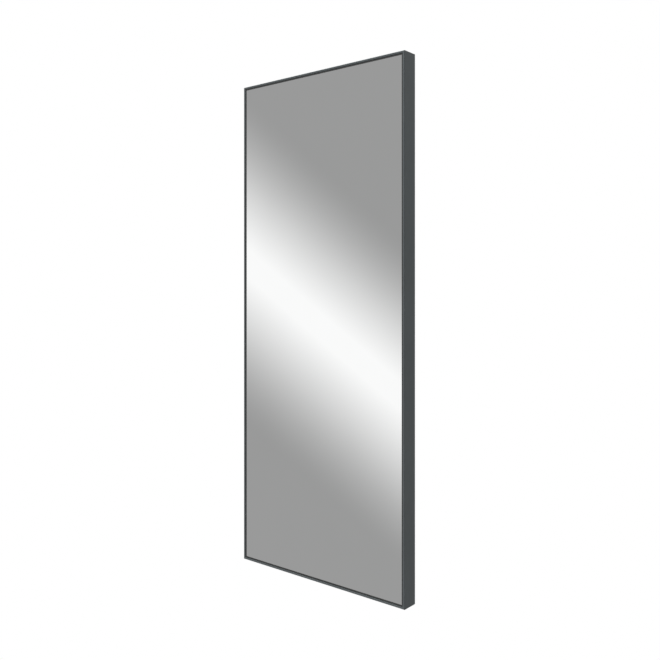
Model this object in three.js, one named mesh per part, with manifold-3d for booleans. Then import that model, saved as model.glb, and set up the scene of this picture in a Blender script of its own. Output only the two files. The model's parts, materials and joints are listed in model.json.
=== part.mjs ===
// Pull-out wardrobe mirror: a framed mirror that swings on an upright pin at the front end of a
// full-extension ball slide, which is fastened to the side panel of the wardrobe.
// Millimetres. +Z is up, +X is the way the mirror pulls out, the glass faces -Y, and the side
// panel of the wardrobe is the plane y = 0. The origin is on that plane, level with the middle
// of the mirror.

import * as THREE from 'three';
import { mergeVertices } from 'three/addons/utils/BufferGeometryUtils.js';
import Module from 'manifold-3d';

const wasm = await Module();
wasm.setup();

// Framed mirror
const mirrorWidth = 410;
const mirrorHeight = 1000;
const frameDepth = 35;
const frameStandOff = 22;

// Fits
const seatGap = 0.25;
const runningGap = 0.3;
const boreGap = 0.08;
const glazingGap = 0.1;
const mitreGap = 0.3;
const cutOverrun = 1;

// Frame section: an outer wall with a front lip, a rib behind the glass and a rear return
const wallThickness = 1.4;
const lipWidth = 4;
const lipThickness = 1;
const lipFall = 0.4;
const ribReach = 9;
const ribThickness = 1.4;
const returnReach = 9;
const returnThickness = 1.6;
const frontArris = 1;
const rearArris = 1.2;

// Glazing
const glassThickness = 4;
const boardThickness = 3;
const gasketLeaf = 0.4;
const gasketWeb = 0.5;
const gasketReveal = 2.8;

// Corner cleats and cross rails inside the rear chamber
const cleatThickness = 5;
const cleatLeg = 32;
const railHeight = 24;
const railWall = 1.6;
const railBend = 2;
const railSpread = 62;

// Mounting plate on the side panel
const plateThickness = 2;
const plateHeight = 90;
const plateCorner = 8;
const plateScrewRadius = 2.5;
const plateSinkRadius = 5;
const plateScrewInset = 10;
const plateScrewShares = [-0.43, 0, 0.43];

// Ball slide
const slideLength = 350;
const slideHeight = 45;
const slideDepth = 13;
const slideSheet = 1.2;
const lipSetback = 0.6;
const outerBend = 2.4;
const innerBend = 1.4;
const webGap = 0.35;
const ballRadius = 1.5;
const ballsPerRow = 8;
const cageSheet = 0.6;
const cageLength = 120;
const cageEnd = 6;
const cageLip = 1.2;
const raceLeanAngle = 37;
const outerLipEndAngle = -20;
const middleRaceEndAngle = 285;
const innerRaceStartAngle = 285;
const innerRaceEndAngle = 255;
const middleStepLow = 3.3;
const middleStepHigh = 1.1;
const accessHoleRadius = 5;

// Stops at the rear ends of the slide members
const rearStopLength = 8;
const rearStopHeight = 30;
const bumperLength = 5.5;
const bumperHeight = 20;

// Flush rivets between the outer member and the mounting plate
const rivetRadius = 2;
const rivetHeadRadius = 3;
const rivetHeadDepth = 0.9;
const rivetShares = [-0.4, -0.13, 0.13, 0.4];

// Upright pivot
const pivotInset = 25;
const pivotToBack = 11;
const pivotToSlide = 8;
const pinRadius = 3.5;
const pinHeadRadius = 6;
const pinHeadHeight = 3;
const threadRadius = 3;
const threadEnd = 1;
const bushWall = 0.9;
const bushFlangeRadius = 6;
const bushFlange = 1;
const washerThickness = 1;
const nutAcrossFlats = 10;
const nutHeight = 5;

// Carriage bracket on the inner slide member
const bracketSheet = 2.5;
const bracketBend = 2.5;
const bracketHeight = 80;
const bracketReach = 120;
const bracketFlange = 6;
const bracketEarRadius = 9.5;
const bracketEarRoot = 20;
const bracketEarTurnAngle = 110;
const bracketEnd = 6;

// Hinge plate on the cross rails
const hingeSheet = 2.5;
const hingeBend = 2.5;
const hingeEarRadius = 9;
const hingeEarRoot = 12;
const hingePlateHeight = 160;
const hingePlateNear = 30;
const hingePlateFar = 150;
const hingeTongueHeight = 76;
const hingeCorner = 6;

// Stop pin in the lower ear of the bracket, and the notch it runs in
const stopPinRadius = 1.2;
const stopPinCircle = 7.6;
const stopPinAngle = 135;
const stopPinProud = 0.7;
const swingAngle = 90;
const notchRadius = 6.1;

// Screws and rest pads
const screwRadius = 2;
const screwHeadRadius = 3.6;
const screwHeadHeight = 1.8;
const screwPoint = 1;
const screwGrip = 1.5;
const carriageScrewSpread = 6;
const carriageScrewNear = 30;
const carriageScrewEndInset = 25;
const hingeScrewInset = 20;
const railScrewInset = 5.4;
const padRadius = 7;
const padEndInset = 12;
const padSpread = 30;
const padCrown = 0.8;

// Smoothness of round forms
const arcSteps = 5;
const roundSegments = 24;
const smallSegments = 12;
const ballSegments = 8;
const ballRings = 5;

// Places that follow from the sizes above
const frontPlane = -(frameStandOff + frameDepth);
const gasketFront = lipThickness + glazingGap;
const glassFront = gasketFront + gasketLeaf + glazingGap;
const glassBack = glassFront + glassThickness;
const gasketBack = glassBack + glazingGap + gasketLeaf;
const boardFront = gasketBack + glazingGap;
const ribFront = boardFront + boardThickness + seatGap;
const ribBack = ribFront + ribThickness;
const chamberDepth = frameDepth - returnThickness - ribBack;
const pivotX = mirrorWidth / 2 - pivotInset;
const pivotY = pivotToBack - frameStandOff;
const slideBack = -(plateThickness + seatGap);
const slideFront = slideBack - slideDepth;
const slideFrontEnd = pivotX - pivotToSlide;
const middleLength = slideLength - rearStopLength - seatGap;
const innerLength = middleLength - bumperLength - seatGap;
const plateCentreX = slideFrontEnd - slideLength / 2;
const cageStart = plateCentreX - cageLength / 2;
const rivetPlaces = rivetShares.map((share) => plateCentreX + share * slideLength);
const bracketBack = slideFront - seatGap - pivotY;
const bracketFront = bracketBack - bracketSheet;
const bracketTop = bracketHeight / 2;
const hingeEarInner = bracketTop + bushFlange + 2 * seatGap;
const hingeEarOuter = hingeEarInner + hingeSheet;
const washerPlace = hingeEarOuter + seatGap;
const pinHeadPlace = washerPlace + washerThickness + seatGap;
const carriageScrewPlaces = [carriageScrewNear, bracketReach - carriageScrewEndInset];
const hingeScrewPlaces = [hingePlateNear + hingeScrewInset, hingePlateFar - hingeScrewInset];

// Ball centres in the slide section: x is the depth from the back of the slide, y the height
const raceRadius = ballRadius + runningGap + slideSheet / 2;
const outerBall = new THREE.Vector2(
  slideDepth - lipSetback - slideSheet / 2 - raceRadius,
  slideHeight / 2 - slideSheet / 2 - raceRadius,
);
const leanAngle = THREE.MathUtils.degToRad(raceLeanAngle);
const leanDirection = new THREE.Vector2(Math.sin(leanAngle), Math.cos(leanAngle));
const innerBall = outerBall.clone().addScaledVector(leanDirection, -2 * raceRadius);
const outerCageWeb = slideSheet + webGap + cageSheet / 2;
const middleWeb = outerCageWeb + cageSheet / 2 + webGap + slideSheet / 2;
const innerCageWeb = middleWeb + slideSheet / 2 + webGap + cageSheet / 2;
const innerWeb = slideDepth - slideSheet / 2;

const point = (x, y) => new THREE.Vector2(x, y);

// Points along a circular arc, its angles in degrees
function arc(centre, radius, from, to, steps = arcSteps) {
  return Array.from({ length: steps + 1 }, (_, i) => {
    const angle = THREE.MathUtils.degToRad(THREE.MathUtils.lerp(from, to, i / steps));
    return point(centre.x + radius * Math.cos(angle), centre.y + radius * Math.sin(angle));
  });
}

// An open line of corners with each corner between its ends rounded to a radius
function filleted(corners, radius) {
  const path = [corners[0]];
  for (let i = 1; i < corners.length - 1; i += 1) {
    const corner = corners[i];
    const back = corners[i - 1].clone().sub(corner).normalize();
    const ahead = corners[i + 1].clone().sub(corner).normalize();
    const half = Math.acos(back.dot(ahead)) / 2;
    const bisector = back.clone().add(ahead).normalize();
    const centre = corner.clone().addScaledVector(bisector, radius / Math.sin(half));
    const start = corner.clone().addScaledVector(back, radius / Math.tan(half)).sub(centre).angle();
    const end = corner.clone().addScaledVector(ahead, radius / Math.tan(half)).sub(centre).angle();
    const turn = Math.atan2(Math.sin(end - start), Math.cos(end - start));
    const degrees = THREE.MathUtils.radToDeg;
    path.push(...arc(centre, radius, degrees(start), degrees(start + turn)));
  }
  path.push(corners[corners.length - 1]);
  return path;
}

// A closed outline with every corner rounded
function roundedOutline(corners, radius) {
  const closed = [corners[corners.length - 1], ...corners, corners[0]];
  return filleted(closed, radius).slice(1, -1);
}

function rectangle(left, bottom, right, top) {
  return [point(left, bottom), point(right, bottom), point(right, top), point(left, top)];
}

// The outline of a bent sheet: its centreline offset by half the thickness to both sides
function sheetOutline(centreline, thickness) {
  const normals = centreline.slice(1).map((next, i) => {
    const along = next.clone().sub(centreline[i]).normalize();
    return point(-along.y, along.x);
  });
  const side = (sign) => centreline.map((place, i) => {
    const before = normals[Math.max(i - 1, 0)];
    const after = normals[Math.min(i, normals.length - 1)];
    const bisector = before.clone().add(after).normalize();
    return place.clone().addScaledVector(bisector, (sign * thickness) / 2 / bisector.dot(before));
  });
  return [...side(1), ...side(-1).reverse()];
}

// The centreline of a channel from its upper half, which starts on the plane of symmetry
function mirroredHalf(half) {
  const upper = half.slice(1);
  const lower = upper.map((place) => point(place.x, -place.y)).reverse();
  return [...lower, ...upper];
}

function prism(outline, length) {
  return new THREE.ExtrudeGeometry(new THREE.Shape(outline), { depth: length, bevelEnabled: false });
}

// An outline in (y, z) drawn out along +X
function prismAlongX(outline, length) {
  const axes = new THREE.Matrix4().makeBasis(
    new THREE.Vector3(0, 1, 0),
    new THREE.Vector3(0, 0, 1),
    new THREE.Vector3(1, 0, 0),
  );
  return prism(outline, length).applyMatrix4(axes);
}

// An outline in (x, z) drawn out along +Y
function prismAlongY(outline, length) {
  return prism(outline, length).rotateX(Math.PI / 2).translate(0, length, 0);
}

// A profile of (radius, height) turned round the Z axis
function turned(profile, segments = roundSegments) {
  return new THREE.LatheGeometry(profile, segments).rotateX(Math.PI / 2);
}

function ring(innerRadius, outerRadius, bottom, top) {
  const corners = rectangle(innerRadius, bottom, outerRadius, top);
  return turned([...corners, corners[0]]);
}

function cylinder(radius, bottom, top, segments = roundSegments) {
  const profile = [point(0, bottom), point(radius, bottom), point(radius, top), point(0, top)];
  return turned(profile, segments);
}

function toSolid(geometry) {
  const bare = geometry.clone();
  bare.deleteAttribute('normal');
  bare.deleteAttribute('uv');
  const merged = mergeVertices(bare);
  return new wasm.Manifold(new wasm.Mesh({
    numProp: 3,
    vertProperties: new Float32Array(merged.attributes.position.array),
    triVerts: new Uint32Array(merged.index.array),
  }));
}

function toGeometry(solid) {
  const mesh = solid.getMesh();
  const geometry = new THREE.BufferGeometry();
  geometry.setAttribute('position', new THREE.BufferAttribute(mesh.vertProperties, 3));
  geometry.setIndex(new THREE.BufferAttribute(mesh.triVerts, 1));
  geometry.computeVertexNormals();
  return geometry;
}

// Cuts a list of tool geometries out of a solid
function cut(solid, tools) {
  return tools.reduce((left, tool) => left.subtract(toSolid(tool)), solid);
}

// A round cutter along Y, from the plane y = near to y = far
function holeAlongY(radius, x, z, near, far) {
  return cylinder(radius, near, far, smallSegments).rotateX(-Math.PI / 2).translate(x, 0, z);
}

const finishes = {
  frame: { color: 0x4c4e4f, roughness: 0.45, metalness: 0.35 },
  glass: { color: 0xc4c6c6, roughness: 0.03, metalness: 1 },
  gasket: { color: 0x2a2b2b, roughness: 0.7, metalness: 0 },
  board: { color: 0x6b5846, roughness: 0.85, metalness: 0 },
  aluminium: { color: 0xb4b7b9, roughness: 0.4, metalness: 0.9 },
  zinc: { color: 0xb9bcbe, roughness: 0.35, metalness: 0.9 },
  bracket: { color: 0x3e4041, roughness: 0.5, metalness: 0.3 },
  steel: { color: 0x9da0a2, roughness: 0.3, metalness: 1 },
  polymer: { color: 0xd9d6cc, roughness: 0.5, metalness: 0 },
  rubber: { color: 0x232424, roughness: 0.85, metalness: 0 },
};

function piece(name, geometry, finish) {
  const mesh = new THREE.Mesh(geometry, new THREE.MeshStandardMaterial(finishes[finish]));
  mesh.name = name;
  return mesh;
}

// Frame bar: x runs in from the outer face, y back from the front, z along the bar. Both ends
// are mitred by drawing each point in by its own distance from the outer face.
function frameBar(length) {
  const section = [
    ...arc(point(frontArris, frontArris), frontArris, 180, 270),
    point(lipWidth, lipFall),
    point(lipWidth, lipThickness),
    point(wallThickness, lipThickness),
    point(wallThickness, ribFront),
    point(ribReach, ribFront),
    point(ribReach, ribBack),
    point(wallThickness, ribBack),
    point(wallThickness, frameDepth - returnThickness),
    point(returnReach, frameDepth - returnThickness),
    point(returnReach, frameDepth),
    ...arc(point(rearArris, frameDepth - rearArris), rearArris, 90, 180),
  ];
  const bar = prism(section, length).translate(0, 0, -length / 2);
  const places = bar.attributes.position;
  for (let i = 0; i < places.count; i += 1) {
    const reach = length / 2 - places.getX(i) - mitreGap * Math.SQRT1_2;
    places.setZ(i, Math.sign(places.getZ(i)) * reach);
  }
  bar.computeVertexNormals();
  return bar;
}

function screwHolesInReturn(bar) {
  const places = [-railSpread, railSpread];
  return toGeometry(cut(toSolid(bar), places.map((z) => holeAlongY(
    screwRadius + boreGap,
    railScrewInset,
    z,
    frameDepth - returnThickness - cutOverrun,
    frameDepth + cutOverrun,
  ))));
}

function frame() {
  const stile = screwHolesInReturn(frameBar(mirrorHeight));
  const left = piece('stile_left', stile, 'frame');
  left.position.x = -mirrorWidth / 2;
  const right = piece('stile_right', stile.clone(), 'frame');
  right.position.x = mirrorWidth / 2;
  right.rotation.y = Math.PI;
  const top = piece('rail_top', frameBar(mirrorWidth), 'frame');
  top.position.z = mirrorHeight / 2;
  top.rotation.y = Math.PI / 2;
  const bottom = piece('rail_bottom', frameBar(mirrorWidth), 'frame');
  bottom.position.z = -mirrorHeight / 2;
  bottom.rotation.y = -Math.PI / 2;
  return [left, right, top, bottom];
}

// A section of (inset, depth) led round a rectangle, with mitred corners
function sectionRing(section, width, height) {
  const signs = [[-1, -1], [1, -1], [1, 1], [-1, 1]];
  const places = signs.flatMap(([sx, sz]) => section.flatMap((place) => [
    sx * (width / 2 - place.x),
    place.y,
    sz * (height / 2 - place.x),
  ]));
  const count = section.length;
  const faces = [];
  for (let corner = 0; corner < signs.length; corner += 1) {
    const here = corner * count;
    const there = ((corner + 1) % signs.length) * count;
    for (let i = 0; i < count; i += 1) {
      const next = (i + 1) % count;
      faces.push(here + i, there + i, there + next, here + i, there + next, here + next);
    }
  }
  const geometry = new THREE.BufferGeometry();
  geometry.setAttribute('position', new THREE.Float32BufferAttribute(places, 3));
  geometry.setIndex(faces);
  geometry.computeVertexNormals();
  return geometry;
}

function glazing() {
  const gasketOuter = wallThickness + glazingGap;
  const gasketTip = lipWidth + gasketReveal;
  const channel = [
    point(gasketOuter, gasketFront),
    point(gasketTip, gasketFront),
    point(gasketTip, gasketFront + gasketLeaf),
    point(gasketOuter + gasketWeb, gasketFront + gasketLeaf),
    point(gasketOuter + gasketWeb, gasketBack - gasketLeaf),
    point(gasketTip, gasketBack - gasketLeaf),
    point(gasketTip, gasketBack),
    point(gasketOuter, gasketBack),
  ];
  const gasket = piece('glazing_gasket', sectionRing(channel, mirrorWidth, mirrorHeight), 'gasket');

  const glassInset = gasketOuter + gasketWeb + glazingGap;
  const glassWidth = mirrorWidth - 2 * glassInset;
  const glassHeight = mirrorHeight - 2 * glassInset;
  const sheet = new THREE.BoxGeometry(glassWidth, glassThickness, glassHeight);
  const glass = piece('mirror_glass', sheet, 'glass');
  glass.position.y = (glassFront + glassBack) / 2;

  const boardInset = wallThickness + seatGap;
  const boardWidth = mirrorWidth - 2 * boardInset;
  const boardHeight = mirrorHeight - 2 * boardInset;
  const panel = new THREE.BoxGeometry(boardWidth, boardThickness, boardHeight);
  const board = piece('backing_board', panel, 'board');
  board.position.y = boardFront + boardThickness / 2;
  return [gasket, glass, board];
}

// Equal-legged angle pieces that lie in the rear chamber across each mitre
function cornerCleats() {
  const outer = wallThickness + seatGap;
  const inner = outer + cleatThickness;
  const end = outer + cleatLeg;
  const angle = [
    point(outer, outer),
    point(end, outer),
    point(end, inner),
    point(inner, inner),
    point(inner, end),
    point(outer, end),
  ];
  const depth = chamberDepth - 2 * seatGap;
  const corners = [
    ['corner_cleat_bottom_left', -1, -1, 0],
    ['corner_cleat_top_left', -1, 1, Math.PI / 2],
    ['corner_cleat_top_right', 1, 1, Math.PI],
    ['corner_cleat_bottom_right', 1, -1, -Math.PI / 2],
  ];
  return corners.map(([name, sideX, sideZ, turn]) => {
    const cleat = piece(name, prismAlongY(angle, depth), 'aluminium');
    cleat.position.set((sideX * mirrorWidth) / 2, ribBack + seatGap, (sideZ * mirrorHeight) / 2);
    cleat.rotation.y = turn;
    return cleat;
  });
}

// Channels across the rear chamber, open towards the backing board
function crossRails() {
  const front = ribBack + seatGap;
  const back = frameDepth - hingeSheet - seatGap;
  const web = back - railWall / 2;
  const flange = (railHeight - railWall) / 2;
  const length = mirrorWidth - 2 * (wallThickness + seatGap);
  const centreline = filleted(
    [point(front, -flange), point(web, -flange), point(web, flange), point(front, flange)],
    railBend,
  );
  const channel = prismAlongX(sheetOutline(centreline, railWall), length);
  const screwPlaces = [
    mirrorWidth / 2 - railScrewInset,
    railScrewInset - mirrorWidth / 2,
    ...hingeScrewPlaces.map((place) => pivotX - place),
  ];
  const holes = screwPlaces.map((x) => holeAlongY(
    screwRadius + boreGap,
    x + length / 2,
    0,
    back - railWall - cutOverrun,
    back + cutOverrun,
  ));
  const rail = toGeometry(cut(toSolid(channel), holes));
  return [['cross_rail_upper', 1], ['cross_rail_lower', -1]].map(([name, side]) => {
    const mesh = piece(name, rail.clone(), 'aluminium');
    mesh.position.set(-length / 2, 0, side * railSpread);
    return mesh;
  });
}

// A pan-head screw along +Y: its head stands on the plane y = 0 and its shank runs to -Y
function screw(shankLength) {
  const profile = [
    point(0, -shankLength),
    point(screwRadius - screwPoint, -shankLength),
    point(screwRadius, screwPoint - shankLength),
    point(screwRadius, 0),
    point(screwHeadRadius, 0),
    point(screwHeadRadius, screwHeadHeight / 2),
    point(screwHeadRadius - screwHeadHeight / 2, screwHeadHeight),
    point(0, screwHeadHeight),
  ];
  return turned(profile, smallSegments).rotateX(-Math.PI / 2);
}

function backScrews() {
  const headPlace = frameDepth + seatGap;
  const railWebFront = frameDepth - hingeSheet - seatGap - railWall;
  const shank = headPlace - railWebFront + screwGrip;
  const railColumns = [mirrorWidth / 2 - railScrewInset, railScrewInset - mirrorWidth / 2];
  const hingeColumns = hingeScrewPlaces.map((place) => pivotX - place);
  const rows = [['upper', railSpread], ['lower', -railSpread]];
  const place = (name, x, z) => {
    const mesh = piece(name, screw(shank), 'zinc');
    mesh.position.set(x, headPlace, z);
    return mesh;
  };
  return rows.flatMap(([row, z]) => [
    ...railColumns.map((x, i) => place(`rail_screw_${row}_${i + 1}`, x, z)),
    ...hingeColumns.map((x, i) => place(`hinge_screw_${row}_${i + 1}`, x, z)),
  ]);
}

// A channel bent from sheet, its web at y = web and its flanges reaching up to y = tip
function bentChannel(web, tip, flange, bend, sheet, length) {
  const corners = [point(tip, -flange), point(web, -flange), point(web, flange), point(tip, flange)];
  return prismAlongX(sheetOutline(filleted(corners, bend), sheet), length);
}

// Hinge plate, drawn round the pivot axis: a flat plate on the cross rails and a narrower
// tongue whose upper and lower edges are bent back into the two ears
function hingePlate() {
  const back = -pivotToBack;
  const front = back - hingeSheet;
  const web = (back + front) / 2;
  const channel = bentChannel(
    web,
    hingeEarRadius + cutOverrun,
    hingeEarInner + hingeSheet / 2,
    hingeBend,
    hingeSheet,
    hingeEarRoot + hingeEarRadius,
  ).translate(-hingeEarRoot, 0, 0);
  const earSide = [
    point(-hingeEarRoot, front),
    point(hingeEarRadius, front),
    ...arc(point(0, 0), hingeEarRadius, 0, 180, roundSegments / 2),
    point(-hingeEarRoot, back),
  ];
  const ears = toSolid(channel).intersect(
    toSolid(prism(earSide, 2 * hingeEarOuter + 2 * cutOverrun)
      .translate(0, 0, -hingeEarOuter - cutOverrun)),
  );
  const tongue = hingeTongueHeight / 2;
  const half = hingePlateHeight / 2;
  const flat = [
    ...filleted([
      point(-hingeEarRoot + seatGap, -tongue),
      point(-hingePlateNear, -tongue),
      point(-hingePlateNear, -half),
      point(-hingePlateFar, -half),
      point(-hingePlateFar, half),
      point(-hingePlateNear, half),
      point(-hingePlateNear, tongue),
      point(-hingeEarRoot + seatGap, tongue),
    ], hingeCorner),
  ];
  const plate = ears.add(toSolid(prismAlongY(flat, hingeSheet).translate(0, front, 0)));

  const edge = THREE.MathUtils.radToDeg(Math.asin((stopPinRadius + runningGap) / stopPinCircle));
  const notchStart = stopPinAngle - swingAngle - edge;
  const notchEnd = stopPinAngle + edge;
  const notch = prism([
    ...arc(point(0, 0), notchRadius, notchStart, notchEnd, roundSegments / 2),
    ...arc(point(0, 0), hingeEarRadius + cutOverrun, notchEnd, notchStart, roundSegments / 2),
  ], hingeSheet + 2 * cutOverrun).translate(0, 0, -hingeEarOuter - cutOverrun);
  const boreReach = hingeEarOuter + cutOverrun;
  const bore = cylinder(pinRadius + bushWall + 2 * boreGap, -boreReach, boreReach);
  const screwHoles = hingeScrewPlaces.flatMap((x) => [-railSpread, railSpread].map((z) => holeAlongY(
    screwRadius + boreGap,
    -x,
    z,
    front - cutOverrun,
    back + cutOverrun,
  )));
  return piece('hinge_plate', toGeometry(cut(plate, [notch, bore, ...screwHoles])), 'bracket');
}

// Carriage bracket, drawn round the pivot axis: a channel over the slide whose flanges rise
// into two ears at its front end
function carriageBracket() {
  const web = (bracketBack + bracketFront) / 2;
  const reach = bracketReach + bracketEarRadius;
  const channel = bentChannel(
    web,
    bracketEarRadius + cutOverrun,
    bracketTop - bracketSheet / 2,
    bracketBend,
    bracketSheet,
    reach,
  ).translate(-bracketReach, 0, 0);
  const frontMeet = THREE.MathUtils.radToDeg(Math.asin(bracketFront / bracketEarRadius));
  const flangeTop = bracketFront + bracketFlange;
  const side = [
    point(-bracketReach, bracketFront),
    ...arc(point(0, 0), bracketEarRadius, frontMeet, bracketEarTurnAngle, roundSegments / 2),
    point(-bracketEarRoot, flangeTop),
    point(bracketEnd - bracketReach, flangeTop),
    point(-bracketReach, bracketBack),
  ];
  const trimmed = toSolid(channel).intersect(
    toSolid(prism(side, bracketHeight + 2 * cutOverrun).translate(0, 0, -bracketTop - cutOverrun)),
  );
  const pinBore = cylinder(pinRadius + boreGap, -bracketTop - cutOverrun, bracketTop + cutOverrun);
  const stopAngle = THREE.MathUtils.degToRad(stopPinAngle);
  const stopBore = cylinder(
    stopPinRadius + boreGap,
    -bracketTop - cutOverrun,
    -bracketTop + bracketSheet + cutOverrun,
  ).translate(stopPinCircle * Math.cos(stopAngle), stopPinCircle * Math.sin(stopAngle), 0);
  const spreads = [-carriageScrewSpread, carriageScrewSpread];
  const screwHoles = carriageScrewPlaces.flatMap((x) => spreads.map((z) => holeAlongY(
    screwRadius + boreGap,
    -x,
    z,
    bracketFront - cutOverrun,
    bracketBack + cutOverrun,
  )));
  const solid = cut(trimmed, [pinBore, stopBore, ...screwHoles]);
  return piece('carriage_bracket', toGeometry(solid), 'bracket');
}

// Pivot parts, all on the pivot axis
function pivotParts() {
  const threadTip = -pinHeadPlace - nutHeight - threadEnd;
  const threadTop = seatGap - pinHeadPlace;
  const pin = pivotPinShape(threadTip, threadTop);
  const bushOuter = pinRadius + bushWall + boreGap;
  const bushStart = bracketTop + seatGap;
  const bush = [
    point(pinRadius + boreGap, bushStart),
    point(bushFlangeRadius, bushStart),
    point(bushFlangeRadius, bushStart + bushFlange),
    point(bushOuter, bushStart + bushFlange),
    point(bushOuter, hingeEarOuter),
    point(pinRadius + boreGap, hingeEarOuter),
    point(pinRadius + boreGap, bushStart),
  ];
  const washerBore = pinRadius + boreGap;
  const washer = () => ring(washerBore, bushFlangeRadius, washerPlace, washerPlace + washerThickness);
  const nutRadius = nutAcrossFlats / 2 / Math.cos(Math.PI / 6);
  const nutCorners = arc(point(0, 0), nutRadius, 0, 300);
  const nutBlank = prism(nutCorners, nutHeight).translate(0, 0, -pinHeadPlace - nutHeight);
  const nutBore = cylinder(
    threadRadius + boreGap,
    -pinHeadPlace - nutHeight - cutOverrun,
    cutOverrun - pinHeadPlace,
  );
  const stopTop = -bracketTop + bracketSheet + stopPinProud;
  const stopPin = piece(
    'stop_pin',
    cylinder(stopPinRadius, -hingeEarOuter - stopPinProud, stopTop),
    'steel',
  );
  const stopAngle = THREE.MathUtils.degToRad(stopPinAngle);
  stopPin.position.set(stopPinCircle * Math.cos(stopAngle), stopPinCircle * Math.sin(stopAngle), 0);
  return [
    piece('pivot_pin', pin, 'steel'),
    piece('pivot_bush_upper', turned(bush), 'polymer'),
    piece('pivot_bush_lower', turned(bush).rotateX(Math.PI), 'polymer'),
    piece('pivot_washer_upper', washer(), 'zinc'),
    piece('pivot_washer_lower', washer().rotateX(Math.PI), 'zinc'),
    piece('pivot_nut', toGeometry(cut(toSolid(nutBlank), [nutBore])), 'zinc'),
    stopPin,
  ];
}

// The pin: a threaded end below, a plain shank and a chamfered head
function pivotPinShape(threadTip, threadTop) {
  const chamfer = threadRadius - threadEnd / 2;
  return turned([
    point(0, threadTip),
    point(chamfer, threadTip),
    point(threadRadius, threadTip + threadEnd / 2),
    point(threadRadius, threadTop),
    point(pinRadius, threadTop),
    point(pinRadius, pinHeadPlace),
    point(pinHeadRadius, pinHeadPlace),
    point(pinHeadRadius, pinHeadPlace + pinHeadHeight - threadEnd / 2),
    point(pinHeadRadius - threadEnd / 2, pinHeadPlace + pinHeadHeight),
    point(0, pinHeadPlace + pinHeadHeight),
  ]);
}

// Screws from the bracket into the inner slide member, and the pads the closed mirror rests on
function carriageScrews() {
  const shank = bracketSheet + slideSheet + 2 * seatGap + screwGrip;
  const spreads = [['upper', carriageScrewSpread], ['lower', -carriageScrewSpread]];
  return carriageScrewPlaces.flatMap((x, i) => spreads.map(([row, z]) => {
    const mesh = piece(`carriage_screw_${row}_${i + 1}`, screw(shank), 'zinc');
    mesh.position.set(-x, bracketFront - seatGap, z);
    mesh.rotation.x = Math.PI;
    return mesh;
  }));
}

function restPads() {
  const height = bracketFront + pivotToBack - 2 * seatGap;
  return [['rest_pad_upper', padSpread], ['rest_pad_lower', -padSpread]].map(([name, z]) => {
    const pad = turned([
      point(0, 0),
      point(padRadius, 0),
      point(padRadius, height - padCrown),
      point(padRadius - padCrown, height),
      point(0, height),
    ]).rotateX(Math.PI / 2);
    const mesh = piece(name, pad, 'rubber');
    mesh.position.set(padEndInset - bracketReach, bracketFront - seatGap, z);
    return mesh;
  });
}

// A rivet set flush at both ends, from the back of the mounting plate to the front of the outer
// member's web. With a gap and an overrun it is the cutter for its own hole.
function rivet(gap, overrun) {
  const length = plateThickness + seatGap + slideSheet;
  const taper = (rivetHeadRadius - rivetRadius) / rivetHeadDepth;
  const head = rivetHeadRadius + gap + overrun * taper;
  const shank = rivetRadius + gap;
  return turned([
    point(0, -overrun),
    point(head, -overrun),
    point(shank, rivetHeadDepth),
    point(shank, length - rivetHeadDepth),
    point(head, length + overrun),
    point(0, length + overrun),
  ], smallSegments).rotateX(Math.PI / 2);
}

// Slide members: each upper half centreline is given as (depth, height) from the middle of its web
function memberSection(half, sheet) {
  return sheetOutline(mirroredHalf(half), sheet).map((place) => point(-place.x, place.y));
}

function slideMember(name, half, length, tools) {
  const body = toSolid(prismAlongX(memberSection(half, slideSheet), length));
  const start = slideFrontEnd - length;
  const placed = tools.map((tool) => tool.translate(-start, -slideBack, 0));
  const mesh = piece(name, toGeometry(cut(body, placed)), 'zinc');
  mesh.position.set(start, slideBack, 0);
  return mesh;
}

function ballCage(name, half, ballCentre) {
  const pitch = (cageLength - 2 * cageEnd) / (ballsPerRow - 1);
  let body = toSolid(prismAlongX(memberSection(half, cageSheet), cageLength));
  for (const side of [1, -1]) {
    for (let i = 0; i < ballsPerRow; i += 1) {
      const ball = new THREE.SphereGeometry(ballRadius, ballSegments, ballRings);
      ball.translate(cageEnd + i * pitch, -ballCentre.x, side * ballCentre.y);
      body = body.add(toSolid(ball));
    }
  }
  const mesh = piece(name, toGeometry(body), 'steel');
  mesh.position.set(cageStart, slideBack, 0);
  return mesh;
}

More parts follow.
